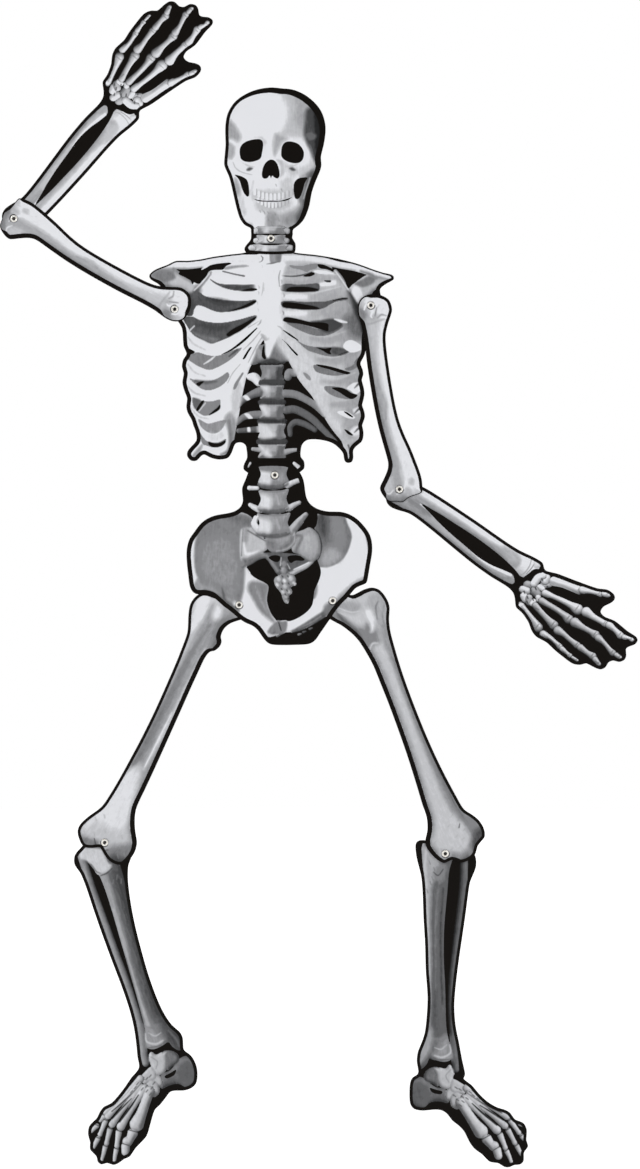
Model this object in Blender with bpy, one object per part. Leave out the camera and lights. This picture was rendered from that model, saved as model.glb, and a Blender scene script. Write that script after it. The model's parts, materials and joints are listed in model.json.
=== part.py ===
"""A jointed Halloween skeleton figure: eleven die-cut cards joined by ten metal eyelets.

Every card is drawn flat, in millimetres, with the eyelet it hangs from at (0, 0): u runs to the
viewer's right and v upwards when the card hangs straight down. Left limbs are drawn as seen in a
mirror. The world has X to the viewer's right, Z up and the printed fronts facing -Y. The origin
is on the back face of the torso card.
"""

import math

import bmesh
import bpy
from mathutils import Matrix, Vector

MM = 0.001

# Sheet, hole and eyelet sizes.
CARD_T = 0.5
HOLE_D = 5.6
BARREL_D = 5.0
BORE_D = 4.4
FLANGE_D = 9.0
FLANGE_T = 0.3
WEB_T = 0.3
FLANGE_GAP = 0.15
SLIDE_GAP = 0.2
PASS_GAP = 0.6
HOLE_SIDES = 16
EYELET_SIDES = 16
CURVE_STEPS = 2

# Front face of each layer of card, from the wall side to the viewer's side. Cards that swing past
# each other have a layer each, with room between for the flanges of the eyelets.
RIGHT_SHIN_Y = PASS_GAP
LEFT_SHIN_Y = RIGHT_SHIN_Y + CARD_T + PASS_GAP
TORSO_Y = -CARD_T
HEAD_Y = TORSO_Y - SLIDE_GAP - CARD_T
LEFT_FOREARM_Y = HEAD_Y - PASS_GAP - CARD_T
RIGHT_FOREARM_Y = LEFT_FOREARM_Y - PASS_GAP - CARD_T
UPPER_ARM_Y = RIGHT_FOREARM_Y - SLIDE_GAP - CARD_T

# Eyelet centres in the hung pose, as world X and Z.
NECK = (-1.3, 178.5)
WAIST = (3.5, -119.7)
RIGHT_SHOULDER = (-122.5, 89.0)
LEFT_SHOULDER = (124.5, 93.9)
RIGHT_HIP = (-41.4, -283.3)
LEFT_HIP = (76.4, -278.0)

# Where the far eyelet of each limb card is, drawn in the card's own plane.
RIGHT_ELBOW_HOLE = (0.0, -232.3)
LEFT_ELBOW_HOLE = (3.6, -234.3)
RIGHT_KNEE_HOLE = (0.0, -344.1)
LEFT_KNEE_HOLE = (0.0, -348.9)

# Turn of each limb card from hanging straight down, counter-clockwise as the viewer sees it.
RIGHT_UPPER_ARM_TURN = -119.4
LEFT_UPPER_ARM_TURN = 9.7
RIGHT_FOREARM_TURN = 139.2
LEFT_FOREARM_TURN = 54.6
RIGHT_THIGH_TURN = -29.5
LEFT_THIGH_TURN = 24.0
RIGHT_SHIN_TURN = 15.5
LEFT_SHIN_TURN = -1.7

# The left arm cards are punched a little away from where the right ones are.
LEFT_UPPER_ARM_SHIFT = (2.2, -4.0)
LEFT_FOREARM_SHIFT = (8.0, -2.6)

SKULL = [
    (0, 190), (14, 188.8), (27.5, 187.3), (42.3, 181), (55.6, 170.3), (64, 158.6), (68, 146),
    (68.8, 134), (66.5, 118), (63, 103), (63.5, 92), (61, 83), (57, 73.6), (51.5, 58), (48, 40),
    (41.5, 24), (34, 15.8), (28, 11), (27.5, 5), (27, 0), (30.5, -6), (31, -12.5), (29, -18.5),
    (20, -19.6), (0, -20.2), (-20, -19.2), (-31.5, -17.6), (-33, -11.5), (-28, -5), (-25.5, -1),
    (-25, 4), (-25.2, 8.5), (-26, 13), (-33, 16.8), (-39.5, 26), (-44.5, 43), (-49.5, 65),
    (-53.2, 78.6), (-58.5, 91), (-58.6, 101), (-57.2, 118), (-57.6, 138), (-55, 155.8),
    (-46.3, 170.8), (-33, 181), (-17, 187.5),
]

TORSO = [
    (-15, 190), (-1, 194), (13, 190), (18, 178), (20, 168), (28, 160.8), (53, 157.8), (80, 153.4),
    (107, 146.6), (126, 139.8), (140, 135.2), (151, 132.5), (153.4, 127), (144.5, 121.5),
    (136.5, 115), (137, 107), (139, 98), (138, 89), (132, 82), (125, 78), (120, 66), (118, 50),
    (117.5, 35), (114, 26.5), (111.5, 20.5), (114, 13.5), (115, 7), (113.2, 0), (115.4, -9),
    (116.4, -18), (114.8, -26.5), (113.7, -32), (116, -39), (117, -46), (115, -53),
    (113.7, -57.5), (115, -64), (115, -71.5), (112.5, -78), (106, -83.5), (102.3, -89),
    (102.4, -97), (100.5, -103), (95, -104.3), (91.2, -101), (89.5, -92.5), (84, -85.5),
    (75, -79), (60.5, -75.3), (46, -75.2), (38.5, -80.5), (36.2, -89), (36.4, -97),
    (40.3, -102.5), (40.3, -111.5), (33.5, -118), (28, -130), (16, -139), (3.5, -141.5),
    (-9, -139), (-21, -130), (-28, -119), (-35.4, -113), (-35.2, -106), (-31.5, -98), (-32, -88),
    (-33.5, -82), (-38, -79), (-43.5, -79), (-47, -81.5), (-49.5, -88), (-52.5, -94.5),
    (-57, -98.8), (-67, -100.2), (-77, -98), (-85.5, -94), (-90.5, -97), (-95, -101.5),
    (-102, -101.5), (-106.7, -96), (-106.2, -89.5), (-101, -83), (-95.3, -76), (-95.7, -66.5),
    (-99, -57.5), (-101.5, -49.8), (-106.3, -41), (-107.9, -33), (-107, -23), (-110.3, -14),
    (-112.9, -3), (-111.3, 8), (-113.5, 17), (-111.8, 26), (-107.7, 33), (-111.2, 42),
    (-112.2, 52), (-113.5, 65), (-120, 75), (-129, 78), (-134, 86), (-135, 96), (-134, 106),
    (-137.5, 114), (-143.5, 121), (-152, 126.2), (-154.6, 132), (-147, 139), (-132, 145),
    (-121, 150), (-107, 150.2), (-90, 152), (-74, 155.2), (-52, 158.2), (-33, 160.8), (-22, 168),
    (-20, 178),
]

PELVIS = [
    (-21, 15.8), (-3, 17), (15, 15.8), (25, 11), (31, 4), (36, -6), (38, -18), (39.5, -27),
    (43, -34.5), (49, -40), (57, -43.8), (68, -46), (82, -46.4), (92.5, -49), (103, -55),
    (112, -64), (119, -74), (122.3, -85), (122.5, -98), (120, -113), (117.8, -126),
    (115.5, -135.5), (109, -139), (102, -142.5), (96.5, -148.5), (91, -155), (84, -162),
    (77, -170.5), (70.5, -180), (64, -189.5), (57, -199.5), (50.5, -208.5), (42, -213),
    (27, -214), (10, -214.3), (-4, -213.5), (-11, -209.5), (-16.5, -202.5), (-21.5, -195.5),
    (-28, -190), (-36, -186.5), (-44, -181.5), (-54, -173), (-64, -165.5), (-72, -158.5),
    (-79, -152.8), (-88, -150.3), (-97, -150.3), (-103, -147.5), (-107, -140), (-109, -126),
    (-110.8, -110), (-111, -95), (-108, -82), (-101.5, -72), (-93.5, -61.5), (-84, -54.5),
    (-73, -50.5), (-61, -48.5), (-51, -45.8), (-43.5, -40.5), (-40.3, -33), (-40.8, -25),
    (-41, -16), (-37, -6), (-33.5, 3), (-28.5, 10.5),
]

UPPER_ARM = [
    (0, 17.5), (9, 14), (14.5, 5), (15.5, -6), (13.8, -20), (13.6, -40), (15, -70), (15.4, -100),
    (15, -130), (13.6, -155), (11.2, -178), (9.8, -195.5), (13.2, -206), (19.8, -216),
    (25.3, -225), (22.8, -235), (17, -243), (8, -245), (0, -247), (-8, -243), (-17, -241),
    (-25.5, -239), (-28, -229), (-28, -218), (-25.5, -203), (-21, -182), (-16, -163),
    (-12.5, -144), (-11, -120), (-11, -85), (-12.3, -50), (-15.5, -32), (-22.5, -17), (-27.5, -6),
    (-26, 6), (-19, 13), (-10, 17),
]

FOREARM = [
    (-4, 12.5), (6, 12.5), (14, 7), (16.5, -2), (13.5, -14), (9.5, -28), (10, -55), (12.5, -90),
    (14.8, -125), (15, -155), (13.4, -178), (15.5, -190), (22, -197.5), (28, -203.5),
    (29.6, -214), (34.5, -227), (40.5, -236), (43.5, -246), (42, -260), (43.7, -273),
    (44.8, -290), (44.5, -303), (40, -311.5), (34.5, -316.5), (33, -326), (30.5, -335),
    (24.5, -338.8), (17.5, -338.5), (12, -342), (9, -349), (3, -352.8), (-3, -351.5),
    (-9, -346.8), (-14, -348), (-20, -352), (-26.5, -352.3), (-29.3, -347), (-28.8, -335),
    (-30, -315), (-27, -302), (-29, -293.5), (-37, -293), (-44.5, -297), (-51.5, -298.7),
    (-56.5, -294.5), (-56.5, -284), (-51, -273.5), (-46, -257), (-41, -238), (-36.5, -221),
    (-31.5, -208), (-33.5, -202.5), (-37, -197), (-35.8, -182), (-32.8, -165), (-31.6, -140),
    (-31.4, -105), (-30.5, -70), (-29.5, -45), (-27.5, -20), (-22, -3), (-13, 8),
]

RIGHT_THIGH = [
    (2, 19), (12, 14), (17, 3), (15, -10), (8.5, -18), (1.8, -26), (-1.8, -36), (-0.5, -46),
    (3.4, -51), (4.4, -58), (1.5, -65.5), (-3, -70), (-4.7, -80), (-3.5, -97), (-1.4, -122),
    (1.3, -150), (4.3, -182), (6.9, -210), (9.3, -237), (11.3, -263), (13.3, -286), (20, -302.5),
    (28, -314.5), (35, -323.5), (38.6, -334), (38.2, -346), (34, -356), (25, -361), (14, -360.5),
    (4.5, -356), (-2.5, -352.5), (-10, -357.5), (-20, -361.5), (-29, -357), (-36.7, -348.5),
    (-37.9, -338), (-33, -323.5), (-26, -308), (-24, -292), (-23.3, -265), (-23.7, -236),
    (-24.5, -205), (-26.7, -168), (-30, -133), (-33.2, -103), (-36.7, -78), (-40.2, -61),
    (-48.2, -45), (-53.7, -31), (-53.2, -19), (-48.2, -10), (-39.2, -5), (-27, -2), (-18, 8),
    (-8, 17),
]

LEFT_THIGH = [
    (0, 17), (10, 13), (16, 4), (17, -8), (12.5, -20), (3, -32.5), (-4.5, -46), (-9.5, -60),
    (-12.4, -80), (-13.5, -97), (-12.7, -120), (-11.6, -148), (-9.5, -180), (-7.1, -210),
    (-4.4, -236), (-1.6, -259), (1.1, -280), (3, -298), (8.5, -312.5), (15, -321.5), (18.3, -330),
    (17, -340), (12.5, -351.5), (5.5, -359.3), (-4.6, -359.5), (-13, -367), (-24, -368.5),
    (-34, -365), (-41, -357), (-48, -353), (-54.5, -349), (-57.3, -339), (-55.5, -327),
    (-50, -316.5), (-44, -306.5), (-42, -290), (-40.1, -265), (-38.9, -240), (-38.6, -210),
    (-39.4, -178), (-41.4, -140), (-44.1, -110), (-47.1, -87), (-50.5, -66), (-55.5, -50),
    (-62, -37), (-63, -25), (-59.5, -12), (-51, -4.8), (-39, -3.3), (-25, -3.5), (-17, 6),
    (-9, 14),
]

RIGHT_SHIN = [
    (0, 14), (16, 12), (26, 3), (30, -12), (27, -27), (21, -36), (15.5, -54), (11.5, -80),
    (9, -110), (8.2, -145), (8.6, -178), (11, -208), (14.5, -228), (20, -244), (27, -255),
    (28.8, -264), (26.5, -275), (27, -280), (31, -285), (34.3, -291.5), (36, -302), (34.5, -313),
    (30, -323), (22, -327.5), (12, -327.8), (2, -325.2), (-5, -325.3), (-12, -330.5), (-21, -337),
    (-29, -341.5), (-35, -350), (-41, -360), (-48, -370.5), (-57, -376.5), (-66, -382),
    (-75, -389.5), (-83, -391), (-91, -394), (-98, -394.5), (-105, -390.2), (-112.5, -389.8),
    (-116, -385), (-116, -378), (-121, -368), (-118.7, -359), (-118.5, -349), (-114, -339),
    (-103, -332.5), (-97, -326), (-90, -320.8), (-80, -318.8), (-69.5, -312.6), (-57.8, -303.8),
    (-46.8, -294.5), (-37, -288), (-33.3, -282), (-32.5, -272), (-29.9, -257), (-27, -235),
    (-26.3, -210), (-28, -180), (-31, -148), (-34, -112), (-36.3, -76), (-37.7, -48), (-40, -29),
    (-44, -17), (-41, -6), (-32, 1), (-16, 10),
]

LEFT_SHIN = [
    (0, 13), (14, 14), (27, 16), (35, 14.5), (37.8, 8), (35.5, -8), (29.4, -30), (26.8, -54),
    (25, -82), (22, -116), (20.2, -148), (17, -180), (17.2, -205), (19, -226), (23, -240),
    (27, -251), (28, -263), (25.8, -275), (27.5, -280), (33, -284), (35.8, -292), (36, -306),
    (34.5, -317), (29, -323.3), (18, -324.8), (6, -323.4), (-4, -323.6), (-12, -328),
    (-19, -336.3), (-27, -342.3), (-34.5, -350), (-41, -362), (-48, -371), (-58, -378),
    (-67.4, -386.6), (-78, -388.3), (-86, -392.5), (-92, -393), (-99, -390), (-106, -389),
    (-110.3, -384), (-110.5, -374), (-115.3, -366), (-113, -358), (-113, -345), (-108, -336.5),
    (-98, -332.5), (-91.5, -324.5), (-84, -320.5), (-75, -318), (-63, -311.5), (-52, -302),
    (-42, -291), (-32, -283.5), (-33.3, -277), (-29, -259), (-24, -236), (-19.5, -216),
    (-17.2, -192), (-18.2, -167), (-21, -136), (-24.5, -106), (-28, -75), (-30.5, -50),
    (-32.5, -35), (-37, -23), (-39.5, -13), (-37.5, -1), (-29, 9), (-14, 13),
]

PRINT_CARD = "printed_card"
EYELET_METAL = "eyelet_metal"


def clear_scene():
    for obj in list(bpy.data.objects):
        bpy.data.objects.remove(obj, do_unlink=True)


def material(name, colour, metallic, roughness):
    mat = bpy.data.materials.new(name)
    mat.use_nodes = True
    shader = mat.node_tree.nodes["Principled BSDF"]
    shader.inputs["Base Color"].default_value = (*colour, 1.0)
    shader.inputs["Metallic"].default_value = metallic
    shader.inputs["Roughness"].default_value = roughness
    return mat


def smooth_closed(points):
    """The points joined by a Catmull-Rom curve."""
    count = len(points)
    curve = []
    for i in range(count):
        p0, p1, p2, p3 = (Vector(points[(i + k - 1) % count]) for k in range(4))
        for step in range(CURVE_STEPS):
            t = step / CURVE_STEPS
            curve.append(
                0.5 * (2 * p1 + (p2 - p0) * t + (2 * p0 - 5 * p1 + 4 * p2 - p3) * t * t
                       + (3 * p1 - p0 - 3 * p2 + p3) * t ** 3)
            )
    return curve


def ring(centre, radius, sides):
    return [
        Vector((centre[0] + radius * math.cos(2 * math.pi * i / sides),
                centre[1] + radius * math.sin(2 * math.pi * i / sides)))
        for i in range(sides)
    ]


def extruded(loops, depth):
    """A closed sheet: the first loop is the outline and the others are holes through it."""
    bm = bmesh.new()
    edges = []
    for loop in loops:
        verts = [bm.verts.new((p.x, 0.0, p.y)) for p in loop]
        edges += [bm.edges.new((verts[i], verts[(i + 1) % len(verts)])) for i in range(len(verts))]
    bmesh.ops.triangle_fill(bm, edges=edges, use_beauty=True, use_dissolve=False)
    faces = bm.faces[:]
    moved = bmesh.ops.extrude_face_region(bm, geom=faces)["geom"]
    bmesh.ops.translate(bm, vec=(0.0, depth, 0.0), verts=[v for v in moved if hasattr(v, "co")])
    bmesh.ops.recalc_face_normals(bm, faces=bm.faces[:])
    return bm


def add_object(name, bm, origin, turn, mirrored, mat):
    """Places a mesh drawn in millimetres round its own eyelet, turned in the plane of the wall."""
    if mirrored:
        bmesh.ops.scale(bm, vec=(-1.0, 1.0, 1.0), verts=bm.verts[:])
        bmesh.ops.reverse_faces(bm, faces=bm.faces[:])
    bmesh.ops.scale(bm, vec=(MM, MM, MM), verts=bm.verts[:])
    mesh = bpy.data.meshes.new(name)
    bm.to_mesh(mesh)
    bm.free()
    mesh.materials.append(mat)
    obj = bpy.data.objects.new(name, mesh)
    obj.matrix_world = (
        Matrix.Translation((origin[0] * MM, origin[2] * MM, origin[1] * MM))
        @ Matrix.Rotation(math.radians(-turn), 4, "Y")
    )
    bpy.context.scene.collection.objects.link(obj)
    return obj


def card(name, outline, holes, origin, front_y, turn=0.0, mirrored=False):
    tone = material(name + "_print", (0.32, 0.32, 0.33), 0.0, 0.45)
    loops = [smooth_closed(outline)] + [ring(h, HOLE_D / 2, HOLE_SIDES) for h in holes]
    bm = extruded(loops, CARD_T)
    return add_object(name, bm, (*origin, front_y), turn, mirrored, tone)


def eyelet(name, centre, front_y, back_y):
    """A hollow rivet with a closed back: a domed front flange, a straight barrel and a rolled rim."""
    outer, bore, flange = BARREL_D / 2, BORE_D / 2, FLANGE_D / 2
    face = front_y - FLANGE_GAP
    rear = back_y + FLANGE_GAP
    web_back = rear + FLANGE_T * 0.3
    web_front = web_back - WEB_T
    profile = [
        (bore, web_front), (bore, face - FLANGE_T * 0.6), (bore + 0.35, face - FLANGE_T),
        (flange - 0.9, face - FLANGE_T * 0.85), (flange - 0.15, face - FLANGE_T * 0.35),
        (flange, face), (outer, face), (outer, rear), (flange - 0.4, rear),
        (flange - 0.5, rear + FLANGE_T * 0.5), (flange - 1.3, rear + FLANGE_T),
        (bore + 0.35, rear + FLANGE_T * 0.8), (bore, web_back),
    ]
    bm = bmesh.new()
    rows = []
    for radius, y in profile:
        rows.append([
            bm.verts.new((radius * math.cos(2 * math.pi * i / EYELET_SIDES), y,
                          radius * math.sin(2 * math.pi * i / EYELET_SIDES)))
            for i in range(EYELET_SIDES)
        ])
    for row, after in zip(rows[:-1], rows[1:]):
        for i in range(EYELET_SIDES):
            j = (i + 1) % EYELET_SIDES
            bm.faces.new((row[i], row[j], after[j], after[i]))
    for row, y in ((rows[0], web_front), (rows[-1], web_back)):
        pole = bm.verts.new((0.0, y, 0.0))
        for i in range(EYELET_SIDES):
            bm.faces.new((row[i], row[(i + 1) % EYELET_SIDES], pole))
    bmesh.ops.recalc_face_normals(bm, faces=bm.faces[:])
    metal = material(name + "_metal", (0.80, 0.77, 0.68), 1.0, 0.3)
    return add_object(name, bm, (*centre, 0.0), 0.0, False, metal)


def limb_end(start, hole, turn, mirrored=False):
    """Where a limb card's far eyelet is, for a card turned from straight down."""
    u = -hole[0] if mirrored else hole[0]
    v = hole[1]
    cosine, sine = math.cos(math.radians(turn)), math.sin(math.radians(turn))
    return (start[0] + u * cosine - v * sine, start[1] + u * sine + v * cosine)


def moved(outline, shift):
    return [(u + shift[0], v + shift[1]) for u, v in outline]


def from_world(point, origin):
    return (point[0] - origin[0], point[1] - origin[1])


def build():
    clear_scene()
    right_elbow = limb_end(RIGHT_SHOULDER, RIGHT_ELBOW_HOLE, RIGHT_UPPER_ARM_TURN)
    left_elbow = limb_end(LEFT_SHOULDER, LEFT_ELBOW_HOLE, LEFT_UPPER_ARM_TURN, True)
    right_knee = limb_end(RIGHT_HIP, RIGHT_KNEE_HOLE, RIGHT_THIGH_TURN)
    left_knee = limb_end(LEFT_HIP, LEFT_KNEE_HOLE, LEFT_THIGH_TURN, True)

    torso_holes = [NECK, WAIST, RIGHT_SHOULDER, LEFT_SHOULDER]
    card("torso_card", TORSO, torso_holes, (0.0, 0.0), TORSO_Y)
    card("skull_card", SKULL, [(0.0, 0.0)], NECK, HEAD_Y)
    pelvis_holes = [(0.0, 0.0), from_world(RIGHT_HIP, WAIST), from_world(LEFT_HIP, WAIST)]
    card("pelvis_card", PELVIS, pelvis_holes, WAIST, HEAD_Y)

    card("right_upper_arm_card", UPPER_ARM, [(0.0, 0.0), RIGHT_ELBOW_HOLE],
         RIGHT_SHOULDER, UPPER_ARM_Y, RIGHT_UPPER_ARM_TURN)
    card("left_upper_arm_card", moved(UPPER_ARM, LEFT_UPPER_ARM_SHIFT),
         [(0.0, 0.0), LEFT_ELBOW_HOLE],
         LEFT_SHOULDER, UPPER_ARM_Y, LEFT_UPPER_ARM_TURN, True)
    card("right_forearm_card", FOREARM, [(0.0, 0.0)], right_elbow,
         RIGHT_FOREARM_Y, RIGHT_FOREARM_TURN)
    card("left_forearm_card", moved(FOREARM, LEFT_FOREARM_SHIFT), [(0.0, 0.0)], left_elbow,
         LEFT_FOREARM_Y, LEFT_FOREARM_TURN, True)

    card("right_thigh_card", RIGHT_THIGH, [(0.0, 0.0), RIGHT_KNEE_HOLE], RIGHT_HIP,
         TORSO_Y, RIGHT_THIGH_TURN)
    card("left_thigh_card", LEFT_THIGH, [(0.0, 0.0), LEFT_KNEE_HOLE], LEFT_HIP,
         TORSO_Y, LEFT_THIGH_TURN, True)
    card("right_shin_card", RIGHT_SHIN, [(0.0, 0.0)], right_knee, RIGHT_SHIN_Y,
         RIGHT_SHIN_TURN)
    card("left_shin_card", LEFT_SHIN, [(0.0, 0.0)], left_knee, LEFT_SHIN_Y,
         LEFT_SHIN_TURN, True)

    torso_back = TORSO_Y + CARD_T
    eyelet("neck_eyelet", NECK, HEAD_Y, torso_back)
    eyelet("waist_eyelet", WAIST, HEAD_Y, torso_back)
    eyelet("right_shoulder_eyelet", RIGHT_SHOULDER, UPPER_ARM_Y, torso_back)
    eyelet("left_shoulder_eyelet", LEFT_SHOULDER, UPPER_ARM_Y, torso_back)
    eyelet("right_elbow_eyelet", right_elbow, UPPER_ARM_Y, RIGHT_FOREARM_Y + CARD_T)
    eyelet("left_elbow_eyelet", left_elbow, UPPER_ARM_Y, LEFT_FOREARM_Y + CARD_T)
    eyelet("right_hip_eyelet", RIGHT_HIP, HEAD_Y, torso_back)
    eyelet("left_hip_eyelet", LEFT_HIP, HEAD_Y, torso_back)
    eyelet("right_knee_eyelet", right_knee, TORSO_Y, RIGHT_SHIN_Y + CARD_T)
    eyelet("left_knee_eyelet", left_knee, TORSO_Y, LEFT_SHIN_Y + CARD_T)


build()
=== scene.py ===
"""How the jointed skeleton figure looks: printed bones on die-cut cards, metal eyelets, studio light.

Each card's print is painted in the card's own plane, in millimetres, with the eyelet it hangs from
at (0, 0), u to the viewer's right and v upwards when the card hangs straight down. Left limbs are
painted as seen in a mirror. A card's mesh holds two values at each point of its front: how far
the point is inside the edge of a bone, and how light the bone is there. The ink's material turns
them into crisp black, grey and white ink.
"""

import json
import math

import bmesh
import bpy
import numpy as np
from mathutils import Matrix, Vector
from mathutils.geometry import delaunay_2d_cdt


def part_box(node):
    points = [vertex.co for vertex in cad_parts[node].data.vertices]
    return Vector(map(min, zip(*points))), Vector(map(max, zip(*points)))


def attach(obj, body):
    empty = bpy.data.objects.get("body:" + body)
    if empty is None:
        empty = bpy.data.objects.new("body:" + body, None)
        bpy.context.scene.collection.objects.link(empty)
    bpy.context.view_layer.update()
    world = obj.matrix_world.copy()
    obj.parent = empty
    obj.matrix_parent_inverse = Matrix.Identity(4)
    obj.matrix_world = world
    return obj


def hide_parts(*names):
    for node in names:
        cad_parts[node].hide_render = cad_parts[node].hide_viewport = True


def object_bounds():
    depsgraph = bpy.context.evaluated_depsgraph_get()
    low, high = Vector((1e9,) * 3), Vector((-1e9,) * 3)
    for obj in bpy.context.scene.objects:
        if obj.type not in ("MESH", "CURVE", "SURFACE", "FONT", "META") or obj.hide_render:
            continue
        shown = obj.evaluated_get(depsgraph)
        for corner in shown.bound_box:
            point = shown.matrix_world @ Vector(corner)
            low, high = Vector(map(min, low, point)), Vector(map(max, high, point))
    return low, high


MM = 0.001
FAR = 50.0  # a distance in mm that stands for "nowhere near"
CURVE_STEPS = 4  # short lines that a curve has from one given point to the next


# ---------------------------------------------------------------- curves and distances

def catmull_rom(p0, p1, p2, p3, t):
    """The smooth curve through p1 at t = 0 and p2 at t = 1."""
    return 0.5 * (2 * p1 + (p2 - p0) * t + (2 * p0 - 5 * p1 + 4 * p2 - p3) * t * t
                  + (3 * p1 - p0 - 3 * p2 + p3) * t ** 3)


def closed_curve(points, steps=CURVE_STEPS):
    """The points, as rows of an array, joined by a closed smooth curve."""
    p = np.array(points, float)
    before, after, beyond = np.roll(p, 1, 0), np.roll(p, -1, 0), np.roll(p, -2, 0)
    rows = [catmull_rom(before, p, after, beyond, k / steps) for k in range(steps)]
    return np.stack(rows, 1).reshape(-1, p.shape[1])


def open_curve(points, steps=CURVE_STEPS):
    """The points, as rows of an array, joined by a smooth curve from the first to the last."""
    p = np.array(points, float)
    if len(p) == 1:
        p = np.vstack([p, p + (0.01, 0.0, 0.0)[: p.shape[1]]])
    if len(p) == 2:
        return p
    p = np.vstack([2 * p[0] - p[1], p, 2 * p[-1] - p[-2]])
    rows = [catmull_rom(p[:-3], p[1:-2], p[2:-1], p[3:], k / steps) for k in range(steps)]
    return np.vstack([np.stack(rows, 1).reshape(-1, p.shape[1]), p[-2]])


def to_segments(points, starts, ends):
    """For each point: its distance and vector from the nearest segment, how far along that is,
    as a share, and the segment's number."""
    best = np.full(len(points), np.inf)
    offset = np.zeros((len(points), 2))
    share = np.zeros(len(points))
    which = np.zeros(len(points), int)
    for i, (a, b) in enumerate(zip(starts, ends)):
        run = b - a
        length = run @ run
        t = np.clip((points - a) @ run / length, 0, 1) if length > 1e-12 else np.zeros(len(points))
        gap = points - (a + t[:, None] * run)
        far = np.hypot(gap[:, 0], gap[:, 1])
        near = far < best
        best[near], offset[near], share[near], which[near] = far[near], gap[near], t[near], i
    return best, offset, share, which


def inside_polygon(points, polygon):
    inside = np.zeros(len(points), bool)
    for a, b in zip(polygon, np.roll(polygon, -1, 0)):
        if a[1] == b[1]:
            continue
        crosses = (points[:, 1] > min(a[1], b[1])) & (points[:, 1] <= max(a[1], b[1]))
        at = a[0] + (points[:, 1] - a[1]) / (b[1] - a[1]) * (b[0] - a[0])
        inside ^= crosses & (points[:, 0] < at)
    return inside


def smooth_step(x):
    x = np.clip(x, 0, 1)
    return x * x * (3 - 2 * x)


# ---------------------------------------------------------------- the print on one card

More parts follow.
